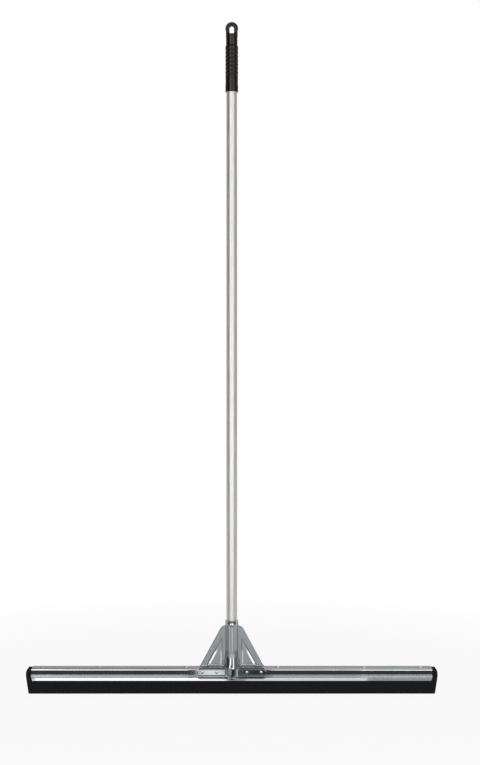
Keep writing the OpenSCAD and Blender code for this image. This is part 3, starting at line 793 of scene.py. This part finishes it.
outside = sheet_face(channel_corners, channel_bends, CHANNEL_SHEET / 2)
inside = sheet_face(channel_corners, channel_bends, -CHANNEL_SHEET / 2)
channel_loop = np.concatenate([outside, inside[::-1]])
loop_points = len(channel_loop)
heights = np.clip(channel_loop.imag, lip_bottom, channel_top)
half_length = channel_high[0] - corner_inset(heights, lip_bottom, channel_top, LOWER_CORNER, UPPER_CORNER)
along = np.sin(np.linspace(-math.pi / 2, math.pi / 2, CHANNEL_STATIONS))
channel_grid = np.broadcast_arrays(along[:, None] * half_length, channel_loop.real, heights)
channel_faces = grid_faces(CHANNEL_STATIONS, loop_points, wrap_columns=True)
for end in (0, CHANNEL_STATIONS - 1):
    first = end * loop_points
    for step in range(len(outside) - 1):
        twin = loop_points - 1 - step
        channel_faces.append([first + step, first + step + 1, first + twin - 1, first + twin])
channel = new_piece("channel", np.stack(channel_grid, axis=-1), channel_faces)
dress(channel, "head", ["frame_channel"], bright_steel)

# %% [markdown]
# Inside the channel a folded rail parts the two blades. Only its edge can be seen, from below. It could
# be drawn again here, but its CAD shape is right already, so it stays and only gets the channel's finish.

# %% Core rail
core_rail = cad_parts["core_rail"]
core_rail.data.materials.clear()
core_rail.data.materials.append(bright_steel)
print("core rail keeps its shape, with", len(core_rail.data.polygons), "faces")

# %% [markdown]
# ## The blades
# Two strips of sponge rubber fill the channel and stand out below it and at its ends. Sponge is cut, not
# moulded: its edges are only just rounded, its faces waver a little, and its free ends bulge where the
# steel no longer holds them. Cloth simulation would be the way for a slack pad, but these are held tight.
# So each blade is a stack of level loops, one for every height, and its width follows the steel that it
# is pressed into. A knot is a height and the depth or length there.

# %% Blade section
BLADE_TOP = 53.3
BLADE_EDGE = 0.9
BLADE_ROWS = 60
EDGE_ROWS = 6
EDGE_SKIP = 2
BULGE_LOW = 37.9
BULGE_HIGH = 45.9
BULGE_EASE = 0.1
END_TAPER = 6.0
END_SHOULDER = 3.0
SHOULDER_FALL = 2.0
SHOULDER_EASE = 1.2
OUTER_KNOTS = [
    (0.0, 17.0),
    (28.5, 17.0),
    (34.0, 16.1),
    (36.8, 15.6),
    (39.2, 16.6),
    (42.4, 14.6),
    (54.0, 14.5),
]
INNER_KNOTS = [(0.0, 5.0), (27.8, 5.0), (33.0, 6.2), (34.6, 7.5), (38.6, 5.4), (54.0, 5.3)]
END_KNOTS = [
    (0.0, -END_TAPER),
    (BULGE_LOW, -BULGE_EASE),
    ((BULGE_LOW + BULGE_HIGH) / 2, 0.0),
    (BULGE_HIGH, -BULGE_EASE),
    (BLADE_TOP - SHOULDER_FALL, -END_SHOULDER + SHOULDER_EASE),
    (BLADE_TOP, -END_SHOULDER),
]


def along_knots(height, knots):
    """Straight steps between knots."""
    knots = np.array(knots)
    return np.interp(height, knots[:, 0], knots[:, 1])


even_rows = np.linspace(0.0, BLADE_TOP, BLADE_ROWS)[EDGE_SKIP:-EDGE_SKIP]
edge_rows = BLADE_EDGE * (1 - np.cos(np.linspace(0.0, math.pi / 2, EDGE_ROWS)))
blade_rows = np.unique(np.concatenate([even_rows, edge_rows, BLADE_TOP - edge_rows]))
edge_share = np.clip(1 - np.minimum(blade_rows, BLADE_TOP - blade_rows) / BLADE_EDGE, 0.0, 1.0)
edge_inset = BLADE_EDGE * (1 - np.sqrt(1 - edge_share**2))
outer_depth = along_knots(blade_rows, OUTER_KNOTS) - edge_inset
inner_depth = along_knots(blade_rows, INNER_KNOTS) + edge_inset
blade_half = node_box("rear_blade")[1][0]
blade_ends = blade_half + along_knots(blade_rows, END_KNOTS) - edge_inset
print("blade rows", len(blade_rows))

# %% [markdown]
# A loop runs round a blade at one height: along the outer face, round two corners at the end, and back
# along the inner face. The second half of a loop is the first half turned about its middle. A box with a
# bevel would be quicker, but dead straight. Here two gentle waves bend the free part, since cut sponge is
# never quite straight.

# %% Loops of a blade
BLADE_STATIONS = 180
END_CORNER = 2.0
CORNER_STEPS = 5
END_STEPS = 5
WAVER = 0.22
LONG_WAVE = 83.0
SHORT_WAVE = 31.0
SHORT_SHARE = 0.6
SHORT_SHIFT = 1.0


def corner_arc(x, y, turns):
    """Points of a rounded corner about its centre."""
    return [(x + END_CORNER * math.cos(turn), y + END_CORNER * math.sin(turn)) for turn in turns]


def blade_loop(half, near, far):
    """A level loop of [x, y] round a blade: both long faces and both ends with rounded corners."""
    corner_x = half - END_CORNER
    quarter = np.linspace(math.pi / 2, 0.0, CORNER_STEPS)
    face = [(x, far) for x in np.linspace(-half + END_CORNER, corner_x, BLADE_STATIONS)]
    face += corner_arc(corner_x, far - END_CORNER, quarter[1:])
    face += [(half, y) for y in np.linspace(far - END_CORNER, near + END_CORNER, END_STEPS)[1:]]
    face += corner_arc(corner_x, near + END_CORNER, -quarter[::-1][1:-1])
    loop = np.array(face)
    middle = np.array([0.0, (near + far) / 2])
    return np.concatenate([loop, 2 * middle - loop])


loops = np.array([blade_loop(*row) for row in zip(blade_ends, inner_depth, outer_depth)])
loop_x = loops[..., 0]
waver = np.sin(loop_x / LONG_WAVE) + SHORT_SHARE * np.sin(loop_x / SHORT_WAVE + SHORT_SHIFT)
loops[..., 1] += WAVER * waver * below(blade_rows, lip_bottom, 0.0)[:, None]
rise = np.broadcast_to(blade_rows[:, None, None], loops.shape[:2] + (1,))
blade_points = np.concatenate([loops, rise], axis=-1)
print("blade grid", blade_points.shape)

# %% [markdown]
# The sides are a grid of those loops. The top and the bottom are closed with four-sided faces across the
# blade, and one larger face at each end. A single face with hundreds of corners would shade badly. Both
# blades come from the same points, and the front one is mirrored.

# %% Blades
SIDES = (("front", -1.0), ("rear", 1.0))

loop_count = loops.shape[1]
half_loop = loop_count // 2
blade_faces = grid_faces(len(blade_rows), loop_count, wrap_columns=True)
for row in (0, len(blade_rows) - 1):
    first = row * loop_count
    for step in range(BLADE_STATIONS - 1):
        twin = half_loop + BLADE_STATIONS - 1 - step
        blade_faces.append([first + step, first + step + 1, first + twin - 1, first + twin])
    for start in (BLADE_STATIONS - 1, half_loop + BLADE_STATIONS - 1):
        stop = start + half_loop - BLADE_STATIONS + 2
        blade_faces.append([first + step % loop_count for step in range(start, stop)])
for side, sign in SIDES:
    blade = new_piece(side + "_sponge_blade", blade_points * (1.0, sign, 1.0), blade_faces)
    dress(blade, "head", [side + "_blade"], sponge_skin)

# %% [markdown]
# ## The bracket
# The bracket is the piece that takes a press: two mirrored halves, each one sheet that is a half socket
# on top, flat wings beside it, a foot that is folded over the channel, and a rounded nose where the
# socket flares out to pass the channel. Pressed grooves stiffen the wings. Modelling it face by face
# would be slow and lumpy. Here the sheet is a grid. Its rows follow the fold from the wing over the
# channel's shoulder and down to the lip, and the socket and nose swell out of it with a smooth maximum,
# which leaves a fillet where they meet.

# %% Fold of the bracket
BRACKET_SHEET = 2.0
FOOT_GAP = 0.05
FOOT_BOTTOM = 33.2
WING_FACE = 5.2
FOLD_BEND = 2.2
FOOT_BENDS = [6.0, 0.9, 4.0, 0.9]
FOLD_MARGIN = 2.0
LIP_POINTS = 14

socket_rim = node_box("rear_bracket")[1][2]
foot_corners = offset_corners(rear_corners, CHANNEL_SHEET / 2 + FOOT_GAP + BRACKET_SHEET)
foot_corners[0] = foot_corners[1].real + (channel_top + FOOT_GAP + BRACKET_SHEET) * 1j
fold_corners = [WING_FACE + socket_rim * 1j, WING_FACE + foot_corners[0].imag * 1j, *foot_corners]
fold = rounded_path(fold_corners, [FOLD_BEND, *FOOT_BENDS])
fold_length = np.concatenate([[0.0], np.cumsum(np.abs(np.diff(fold)))])
wing_end = socket_rim - foot_corners[0].imag - FOLD_BEND - FOLD_MARGIN
foot_end = np.interp(-FOOT_BOTTOM, -fold[-LIP_POINTS:].imag, fold_length[-LIP_POINTS:])
print("fold from wing to lip", round(fold_length[-1], 1), "mm, used to", round(foot_end, 1))

# %% [markdown]
# Rows are spaced along the fold, closer together over the foot and round the tips of the wings. Even rows
# would be simpler, but they would waste points on the flat wings. Each row also has a slant: on the wing
# and the lower foot a row looks for the socket straight ahead, and over the channel's flat top it looks
# up at a slant, so that rows never pile up on the nose.

# %% Rows of the bracket
COLLAR_STEP = 0.6
ROW_STEP = 0.9
FOOT_STEP = 0.55
WING_TOP = 146.0
TIP_HEIGHT = 6.0
TIP_ROWS = 18
SLANT_START = 92.0
SLANT_FULL = 59.0
PANEL_TOP = 53.0
PANEL_LOW = 43.0

tip_turn = np.linspace(0.0, math.pi / 2, TIP_ROWS)
tip_rows = socket_rim - (WING_TOP - TIP_HEIGHT + TIP_HEIGHT * np.sin(tip_turn))
collar_rows = np.arange(0.0, socket_rim - WING_TOP - COLLAR_STEP / 2, COLLAR_STEP)
wing_rows = np.arange(socket_rim - WING_TOP + TIP_HEIGHT, wing_end, ROW_STEP)[1:]
foot_rows = np.arange(wing_end, foot_end, FOOT_STEP)
row_at = np.unique(np.concatenate([collar_rows, tip_rows, wing_rows, foot_rows, [foot_end]]))
row_depth = np.interp(row_at, fold_length, fold.real)
row_height = np.interp(row_at, fold_length, fold.imag)
slant = below(row_height, SLANT_START, SLANT_FULL) * smooth_step(row_height, PANEL_LOW, PANEL_TOP)
print("bracket rows", len(row_at))

# %% [markdown]
# The outline gives every row its half width: the round tips of the wings, their slanted edges, which run
# on down to the foot, and the foot's rounded lower corners. It could be cut out of a larger sheet, but a
# grid that ends at the outline has a clean rim. The edges of the wings are rolled back towards the other
# half. On the foot the sheet just ends.

# %% Outline of the bracket
SOCKET_RADIUS = 14.05
WING_TOP_HALF = 21.5
WING_FOOT_HALF = 71.0
FOOT_HALF = 75.0
FOOT_CORNER = 6.0
FOOT_BEFORE = 1.0
FOOT_AFTER = 3.0
EDGE_ROLL = 2.4
FOOT_EDGE = 0.3
SEAM_HALF = 0.1

socket_edge = math.sqrt(SOCKET_RADIUS**2 - WING_FACE**2)
down_wing = (WING_TOP - row_height) / (WING_TOP - channel_top)
slanted = WING_TOP_HALF + (WING_FOOT_HALF - WING_TOP_HALF) * down_wing
tip_share = np.clip((row_height - WING_TOP + TIP_HEIGHT) / TIP_HEIGHT, 0.0, 1.0)
tip_round = np.sqrt(1 - tip_share**2)
half_width = np.minimum(socket_edge + (slanted - socket_edge) * tip_round, FOOT_HALF)
low_share = np.clip((FOOT_BOTTOM + FOOT_CORNER - row_height) / FOOT_CORNER, 0.0, 1.0)
half_width -= FOOT_CORNER * (1 - np.sqrt(1 - low_share**2))
on_foot = smooth_step(row_at, wing_end - FOOT_BEFORE, wing_end + FOLD_BEND + FOOT_AFTER)
edge_roll = EDGE_ROLL * tip_round * (1 - on_foot) + FOOT_EDGE * on_foot
edge_drop = (WING_FACE - SEAM_HALF) * (1 - on_foot) + FOOT_EDGE * on_foot
print("half widths from", round(half_width.min(), 1), "to", round(half_width.max(), 1))

# %% [markdown]
# The socket is a cylinder with a flared rim. Lower down its centre moves forward and its radius grows,
# which makes the flare and the nose, and the nose ends in part of a sphere. Three solids joined by
# booleans would show their seams, so one formula says how far the shape stands out at any place. A press
# can't draw an upright wall, so where the round sides get too steep they go on with a straight draft.

# %% Socket and nose
FLARE_TOP = 88.0
FLARE_END = 54.0
NOSE_AXIS = 7.5
NOSE_RADIUS = 16.9
NOSE_CENTRE = 43.8
RIM_FLARE = 0.6
RIM_HEIGHT = 3.05
WALL_DRAFT = 3.5


def swell(x, z):
    """How far the socket and nose stand out at a place on the bracket."""
    share = below(z, FLARE_TOP, FLARE_END)
    radius = SOCKET_RADIUS + (NOSE_RADIUS - SOCKET_RADIUS) * share
    radius = radius + RIM_FLARE * smooth_step(z, socket_rim - RIM_HEIGHT, socket_rim)
    under = np.maximum(NOSE_CENTRE - z, 0.0)
    across = np.sqrt(np.maximum(radius**2 - under**2, 0.0))
    round_half = across * WALL_DRAFT / math.hypot(1.0, WALL_DRAFT)
    on_round = np.minimum(np.abs(x), round_half)
    return NOSE_AXIS * share + np.sqrt(across**2 - on_round**2) - WALL_DRAFT * (np.abs(x) - on_round)


print("nose stands out", round(float(swell(0.0, NOSE_CENTRE)), 1), "mm")

# %% [markdown]
# Each wing has a pressed groove in the shape of a triangular ring. A displacement picture could press it,
# but its edges would blur. Here the depth comes from the distance to two rounded triangles. The groove
# falls steeply inside the outer one and climbs gently to the island in its middle. The gentle side is
# what shines in the photograph: it leans just enough to mirror the tall soft boxes.

# %% Pressed grooves
GROOVE_INNER = 20.5
GROOVE_LOW = 58.5
GROOVE_MARGIN = 11.5
GROOVE_WIDTH = 4.8
GROOVE_SLANT_WIDTH = 6.0
GROOVE_ROUND = 2.5
ISLAND_ROUND = 1.4
STEEP_FALL = 0.75
GENTLE_CLIMB = 0.28

edge_course = np.array([WING_FOOT_HALF - WING_TOP_HALF, channel_top - WING_TOP])
edge_normal = np.array([-edge_course[1], edge_course[0]]) / np.linalg.norm(edge_course)
edge_reach = edge_normal @ np.array([WING_TOP_HALF, WING_TOP])


def inside_triangle(x, z, inner, low, margin, corner):
    """Distance inside a rounded triangle between the socket, a level and the wing's slanted edge."""
    walls = [x - inner - corner, z - low - corner]
    walls.append(edge_reach - margin - corner - edge_normal[0] * x - edge_normal[1] * z)
    nearest = np.minimum.reduce(walls)
    outside_by = [np.minimum(wall, 0.0) for wall in walls]
    corner_gap = np.sqrt(sum(gap * gap for gap in outside_by))
    return corner + np.where(nearest > 0, nearest, -corner_gap)


def groove_sides(x, z):
    """The depths of the groove's steep outer side and of its gentle side, at a place on the wings."""
    x = np.abs(x)
    outer = inside_triangle(x, z, GROOVE_INNER, GROOVE_LOW, GROOVE_MARGIN, GROOVE_ROUND)
    island_margin = GROOVE_MARGIN + GROOVE_SLANT_WIDTH
    island_low = GROOVE_LOW + GROOVE_WIDTH
    island = inside_triangle(x, z, GROOVE_INNER + GROOVE_WIDTH, island_low, island_margin, ISLAND_ROUND)
    return STEEP_FALL * outer, -GENTLE_CLIMB * island


print("groove from", GROOVE_INNER, "mm beside the middle, and", GROOVE_MARGIN, "mm inside the wing's edge")

# %% [markdown]
# Now the sheet itself. Columns near the socket run straight down, and the outer ones fan out to the
# outline, so they follow both the upright and the slanted edges. On slanted rows the place where the
# socket meets a row depends on how far it stands out there, so that is found in small steps. The lower
# edge hangs a little lower under the nose.

# %% Faces of the sheet
NEAR_COLUMNS = 104
NEAR_HALF = 20.0
NEAR_SHARE = 0.8
FAR_COLUMNS = 60
LOBE_HALF = 16.0
LOBE_DROP = 1.7
LOBE_RISE = 7.0
FIND_STEPS = 40
FILLET = 2.6


def smooth_max(first, second, width):
    """The larger of two depths, with a fillet where they are nearly equal."""
    near = np.maximum(width - np.abs(first - second), 0.0) / width
    return np.maximum(first, second) + near * near * width / 4


reach = (half_width - edge_roll)[:, None]
near_half = np.minimum(NEAR_HALF, NEAR_SHARE * reach)
near_x = near_half * np.linspace(-1.0, 1.0, NEAR_COLUMNS)
far_x = near_half + (reach - near_half) * np.linspace(0.0, 1.0, FAR_COLUMNS)[1:]
x = np.concatenate([-far_x[:, ::-1], near_x, far_x], axis=1)
start_depth, start_height = row_depth[:, None], row_height[:, None]
lobe = LOBE_DROP * np.clip(1 - (x / LOBE_HALF) ** 2, 0.0, 1.0) ** 2
start_height = start_height - lobe * below(start_height, FOOT_BOTTOM + LOBE_RISE, FOOT_BOTTOM)
found = swell(x, start_height)
for _ in range(FIND_STEPS):
    stand_out = np.maximum(found - start_depth, 0.0)
    found = (found + swell(x, start_height + slant[:, None] * stand_out)) / 2
y = smooth_max(start_depth, found, FILLET)
z = start_height + slant[:, None] * (y - start_depth)
print("sheet grid", x.shape, "deepest", round(y.max(), 2))

# %% [markdown]
# The rim of a pressed wing is rolled back, which takes its sharpness and closes the two halves. A bevel
# would round it evenly all the way. A few more columns on both sides follow a quarter circle instead,
# then run straight to the seam, and on the foot they only ease the edge. Beside the collar they stay on
# the round of the socket.

# %% Rolled edges
EDGE_COLUMNS = (0.03, 0.1, 0.2, 0.33, 0.5, 0.75, 1.0)
LEAST_ROLL = 1e-6
COLLAR_CLEAR = 20.0

rolled = []
for share in EDGE_COLUMNS:
    drop = edge_drop * share
    turn = np.clip(1 - drop / np.maximum(edge_roll, LEAST_ROLL), 0.0, 1.0)
    edge_x = half_width - edge_roll + edge_roll * np.sqrt(1 - turn**2)
    edge_y = y[:, -1] - drop
    socket_x = np.sqrt(np.maximum(SOCKET_RADIUS**2 - np.minimum(edge_y, SOCKET_RADIUS) ** 2, 0.0))
    edge_x = np.where(row_height > channel_top + COLLAR_CLEAR, np.maximum(edge_x, socket_x), edge_x)
    rolled.append(np.stack([edge_x, edge_y, z[:, -1]], axis=-1))
right_edge = np.stack(rolled, axis=1)
left_edge = right_edge[:, ::-1] * (-1.0, 1.0, 1.0)
outer = np.concatenate([left_edge, np.stack([x, y, z], axis=-1), right_edge], axis=1)
print("with rolled edges", outer.shape)

# %% [markdown]
# The inner face lies one sheet thickness behind the outer one, along its normals, and never crosses the
# seam. A solidify modifier could place it, but wouldn't stop at the seam. The grooves are pressed into
# both faces at once, which keeps the sheet whole. Towards its narrow top the groove runs out.

# %% Inner face and grooves
VALLEY_ROUND = 0.4
BRINK_ROUND = 0.3
APEX_TOP = 114.0
APEX_FULL = 84.0
LEAST_LENGTH = 1e-9

normal = np.cross(np.gradient(outer, axis=0), np.gradient(outer, axis=1))
normal /= np.maximum(np.linalg.norm(normal, axis=-1, keepdims=True), LEAST_LENGTH)
if normal[len(row_at) // 2, outer.shape[1] // 2, 1] < 0:
    normal = -normal
inner = outer - normal * BRACKET_SHEET
inner[..., 1] = np.maximum(inner[..., 1], SEAM_HALF)
steep, gentle = groove_sides(outer[..., 0], outer[..., 2])
valley = -smooth_max(-steep, -gentle, VALLEY_ROUND)
pressed = smooth_max(valley, np.zeros_like(valley), BRINK_ROUND)
pressed *= below(outer[..., 2], APEX_TOP, APEX_FULL)
outer[..., 1] -= pressed
inner[..., 1] = np.maximum(inner[..., 1] - pressed, SEAM_HALF)
print("deepest groove", round(pressed.max(), 2))

# %% [markdown]
# Highlights are painted into the zinc's colour where the sheet should mirror a bright lamp: on the gentle
# sides of the grooves, the fillet at the foot of the nose, the sides of the socket, and light lines that run
# down it like reflections. Painted textures could show all this, but the shape already knows where each
# highlight belongs. So each mark is a number from 0 to 1 on every point, and the zinc finish reads it. A
# pair of levels says where a mark starts and where it is full.

# %% Painted highlights
# Painted highlight: how strongly the marks below lighten the zinc's colour, and where
HIGHLIGHT_SHARE = 0.85
GROOVE_HIGHLIGHT_LEVELS = (98.0, 86.0)
GROOVE_FADE = 0.25
GENTLE_SPAN = (-0.2, 0.3)
CREASE_LEVELS = (62.0, 58.0)
BARREL_SPAN = (0.5, 2.0)
STRIPE_START = (88.0, 98.0)
STRIPE_END = (150.0, 148.0)
STRIPE_PITCH = 6.3
STRIPE_FIRST = 1.1
STRIPE_MIDDLE = 0.45
STRIPE_SIDE = 0.95
SIDE_HIGHLIGHT_SPAN = (0.6, 0.8)

mark_x, mark_z = outer[..., 0], outer[..., 2]
edge_pad = ((0, 0), (len(EDGE_COLUMNS), len(EDGE_COLUMNS)))
stands_out = np.pad(found - start_depth, edge_pad, mode="edge")
in_groove = smooth_step(valley, 0.0, GROOVE_FADE)
on_gentle = smooth_step(steep - gentle, *GENTLE_SPAN)
near_fillet = np.clip(1 - np.abs(stands_out) / FILLET, 0.0, 1.0)
groove_highlight = in_groove * on_gentle * below(mark_z, *GROOVE_HIGHLIGHT_LEVELS)
fillet_highlight = near_fillet * below(mark_z, *CREASE_LEVELS)
on_barrel = smooth_step(stands_out, *BARREL_SPAN) * smooth_step(mark_z, *STRIPE_START)
on_stripes = on_barrel * below(mark_z, *STRIPE_END)
sideways = np.minimum(np.abs(mark_x) / SOCKET_RADIUS, 1.0)
# Painted reflection: light and dark stripes down the socket, where the sheet should mirror lamps and room
stripe = 0.5 + 0.5 * np.cos(2 * math.pi * (mark_x - STRIPE_FIRST) / STRIPE_PITCH)
stripe_highlight = on_stripes * stripe * (STRIPE_MIDDLE + (STRIPE_SIDE - STRIPE_MIDDLE) * sideways)
side_highlight = on_barrel * smooth_step(sideways, *SIDE_HIGHLIGHT_SPAN)
# Painted highlight: the brightest of these marks at each point
painted_highlight = np.maximum.reduce([HIGHLIGHT_SHARE * groove_highlight, HIGHLIGHT_SHARE * fillet_highlight, stripe_highlight, side_highlight])
print("rubbed up to", round(painted_highlight.max(), 2), "on average", round(painted_highlight.mean(), 3))

# %% [markdown]
# Polish is what a die leaves where the sheet slid over it under pressure: on the flare and the nose,
# except for a dull patch on the nose's left, on the foot, and a little on the gentle sides of the
# grooves. It could be a second material, but that would end at a hard border. As a mark it fades out, and
# the finish turns it into a lower roughness.

# %% Polished marks
NOSE_SPAN = (-1.0, 1.0)
NOSE_POLISH_LEVELS = (84.0, 72.0)
FOOT_POLISH_LEVELS = (62.5, 57.5)
DULL_SIDE = (1.0, -2.0)
DULL_LEVELS = (60.0, 55.0)
GROOVE_POLISH = 0.4

on_nose = smooth_step(stands_out, *NOSE_SPAN)
on_flare = on_nose * below(mark_z, *NOSE_POLISH_LEVELS)
dull_patch = on_nose * below(mark_x, *DULL_SIDE) * below(mark_z, *DULL_LEVELS)
polished = np.maximum(on_flare, below(mark_z, *FOOT_POLISH_LEVELS)) * (1 - dull_patch)
polished = np.maximum(polished, GROOVE_POLISH * groove_highlight)
print("polished up to", round(polished.max(), 2), "on average", round(polished.mean(), 3))

# %% [markdown]
# Painted shade is the other half. It darkens the zinc's colour where the sheet should mirror the dark room
# or lie in shade: on the steep sides of the grooves, in the crease beside the socket, under the flared rim,
# along the foot's shoulder and along its lower edge, in a line down the middle of the nose, and between
# the light stripes on the socket. It could be painted on by hand, but it follows from the same distances
# as the other marks. Thin dark lines like these make pressed sheet look real.

# %% Painted shade
# Painted shade: how strongly each place below darkens the zinc's colour, and where
WALL_SHADE = 0.5
CREASE_SHADE = 0.7
CREASE_SHADE_START = (62.0, 70.0)
RIM_SHADE = 0.75
RIM_BAND = (150.0, 152.5, 154.8, 156.6)
COLLAR_SIDES = (10.0, 8.0)
FOOT_SHADE = 0.35
FOOT_LEVELS = (42.0, 40.0)
SHOULDER_SHADE = 0.6
SHOULDER_BAND = (50.6, 52.0, 54.6, 56.0)
EDGE_SHADE = 0.85
EDGE_LEVELS = (FOOT_BOTTOM + 1.6, FOOT_BOTTOM + 0.6)
NOSE_LINE_SHADE = 0.75
LINE_HALF = 1.5
STRIPE_SHADE = 0.25
BESIDE_NOSE = -0.5


def band(z, levels):
    """One between the two middle levels, fading to zero at the outer two."""
    return smooth_step(z, levels[0], levels[1]) * below(z, levels[3], levels[2])


# Painted shade on the foot: below the panel, along its shoulder and at its lower edge
foot_shade = FOOT_SHADE * below(mark_z, *FOOT_LEVELS) + SHOULDER_SHADE * band(mark_z, SHOULDER_BAND)
foot_shade += (EDGE_SHADE - FOOT_SHADE) * below(mark_z, *EDGE_LEVELS)
# Painted shade: the darkest of these marks at each point
painted_shade = np.maximum.reduce([
    WALL_SHADE * in_groove * (1 - on_gentle),
    CREASE_SHADE * near_fillet * smooth_step(mark_z, *CREASE_SHADE_START),
    RIM_SHADE * band(mark_z, RIM_BAND) * below(np.abs(mark_x), *COLLAR_SIDES),
    foot_shade * (stands_out < BESIDE_NOSE),
    NOSE_LINE_SHADE * np.exp(-((mark_x / LINE_HALF) ** 2)) * on_flare,
    STRIPE_SHADE * on_stripes * (1 - stripe) * (1 - sideways),
])
print("grime up to", round(painted_shade.max(), 2), "on average", round(painted_shade.mean(), 3))

# %% [markdown]
# Outer and inner face are joined by a strip of faces along the rim, which makes the sheet one closed
# mesh. It could be left open there, but its rim would then show two thin shells. The marks belong to the
# outer face, and the inner one has none. Front and rear are the same points with the depth mirrored, so
# only a hairline seam is left between the two halves.

# %% Both halves
SHEET_CREASE = 55

rows, columns = outer.shape[:2]
face_count = rows * columns
sheet_points = np.concatenate([outer.reshape(-1, 3), inner.reshape(-1, 3)])
sheet_faces = grid_faces(rows, columns)
sheet_faces += [[face_count + corner for corner in reversed(face)] for face in grid_faces(rows, columns)]
rim = list(range(columns))
rim += [row * columns + columns - 1 for row in range(1, rows)]
rim += [(rows - 1) * columns + column for column in range(columns - 2, -1, -1)]
rim += [row * columns for row in range(rows - 2, 0, -1)]
for here, there in zip(rim, rim[1:] + rim[:1]):
    sheet_faces.append([here, there, there + face_count, here + face_count])
# The painted highlight, the painted shade and the polish ride on the outer face as marks
face_marks = {"painted_highlight": painted_highlight, "painted_shade": painted_shade, "polished": polished}
sheet_marks = {mark: np.stack([values, 0 * values]) for mark, values in face_marks.items()}
for side, sign in SIDES:
    half_points = sheet_points * (1.0, sign, 1.0)
    half_piece = new_piece(side + "_pressed_half", half_points, sheet_faces, SHEET_CREASE, sheet_marks)
    dress(half_piece, "head", [side + "_bracket"], zinc_sheet)

# %% [markdown]
# ## Rivets
# Flat domed rivets hold the core rail under the channel's top. A sphere that is cut in half would do from
# afar, but a set rivet has a soft dome and a fine rim where the punch stopped. So its half profile is
# drawn and turned. One profile serves all rivets, and each sits where its CAD node sits.

# %% Rivet heads
RIM_STEP = 0.25
DOME_STEPS = 9
TOP_RIVETS = 6
TOP_SHANK = 2.4
TOP_RIVET_TURNS = 48


def rivet_profile(head_radius, head_height, shank_radius, depth):
    """Half profile of a set rivet: shank below zero, a short rim, then a dome."""
    profile = [(0.0, -depth), (shank_radius, -depth), (shank_radius, 0.0), (head_radius, 0.0)]
    profile.append((head_radius, RIM_STEP))
    for turn in np.linspace(0.0, math.pi / 2, DOME_STEPS):
        radius = (head_radius - RIM_STEP) * math.cos(turn)
        profile.append((radius, RIM_STEP + (head_height - RIM_STEP) * math.sin(turn)))
    return profile


for number in range(1, TOP_RIVETS + 1):
    node = f"frame_rivet_{number}"
    low, high = node_box(node)
    profile = rivet_profile((high[0] - low[0]) / 2, high[2] - channel_top, TOP_SHANK, channel_top - low[2])
    centre = ((low[0] + high[0]) / 2, 0.0, channel_top)
    rivet = turned(f"top_rivet_{number}", profile, TOP_RIVET_TURNS, centre=centre)
    dress(rivet, "head", [node], fastener_steel)

# %% [markdown]
# Smaller rivets hold the bracket's foot to the channel, four in front and four behind. They could be
# copies of the others, but their heads are smaller and they lie on their sides, so the same profile is
# turned about an axis that runs through the tool. Its rise counts from the face of the foot, outwards on
# either side.

# %% Foot rivets
FOOT_FACE = 18.05
FOOT_RIVETS = 4
FOOT_SHANK = 2.1
FOOT_RIVET_TURNS = 40

for side, sign in SIDES:
    for number in range(1, FOOT_RIVETS + 1):
        node = f"{side}_bracket_rivet_{number}"
        low, high = node_box(node)
        far = np.abs([low[1], high[1]])
        head_height, depth = far.max() - FOOT_FACE, FOOT_FACE - far.min()
        profile = rivet_profile((high[0] - low[0]) / 2, head_height, FOOT_SHANK, depth)
        profile = [(radius, sign * (FOOT_FACE + rise)) for radius, rise in profile]
        centre = ((low[0] + high[0]) / 2, 0.0, (low[2] + high[2]) / 2)
        rivet = turned(f"{side}_foot_rivet_{number}", profile, FOOT_RIVET_TURNS, axis="Y", centre=centre)
        dress(rivet, "head", [node], fastener_steel)

# %% [markdown]
# ## The clamp screw
# A slotted screw in the socket's collar presses on the tube. Its head is turned like a rivet, with a rim
# and a dome, and the slot is cut with a boolean, the one tool here that leaves clean walls for a single
# straight cut. The cutter is centred on the front of the head, so half of its depth cuts, and it is
# longer than the head is wide.

# %% Clamp screw
SCREW_RIM = 0.9
SCREW_SHANK = 2.5
SCREW_DOME_STEPS = 12
SCREW_TURNS = 64
SLOT_WIDTH = 2.2
SLOT_DEPTH = 1.8

screw_low, screw_high = node_box("clamp_screw")
head_radius = (screw_high[0] - screw_low[0]) / 2
screw_height = (screw_low[2] + screw_high[2]) / 2
front, tip, seat = screw_low[1], screw_high[1], -SOCKET_RADIUS
screw_profile = [(0.0, tip), (SCREW_SHANK, tip), (SCREW_SHANK, seat), (head_radius, seat)]
for turn in np.linspace(0.0, math.pi / 2, SCREW_DOME_STEPS):
    dome = (seat - SCREW_RIM - front) * math.sin(turn)
    screw_profile.append((head_radius * math.cos(turn), seat - SCREW_RIM - dome))
screw = turned("slotted_screw", screw_profile, SCREW_TURNS, axis="Y", centre=(0.0, 0.0, screw_height))
cutter_mesh = bpy.data.meshes.new("slot_cutter")
cutter_work = bmesh.new()
bmesh.ops.create_cube(cutter_work, size=1.0)
cutter_work.to_mesh(cutter_mesh)
cutter_work.free()
cutter = bpy.data.objects.new("slot_cutter", cutter_mesh)
cutter.scale = (SLOT_WIDTH * MM, 2 * SLOT_DEPTH * MM, 4 * head_radius * MM)
cutter.location = (0.0, front * MM, screw_height * MM)
bpy.context.scene.collection.objects.link(cutter)
slot_cut = screw.modifiers.new("slot", "BOOLEAN")
slot_cut.object = cutter
slot_cut.operation = "DIFFERENCE"
slot_cut.solver = "EXACT"
bpy.context.view_layer.update()
cut_mesh = bpy.data.meshes.new_from_object(screw.evaluated_get(bpy.context.evaluated_depsgraph_get()))
screw.modifiers.clear()
screw.data = cut_mesh
bpy.data.objects.remove(cutter)
dress(screw, "screw", ["clamp_screw"], fastener_steel)
print("screw at", round(screw_height, 1))
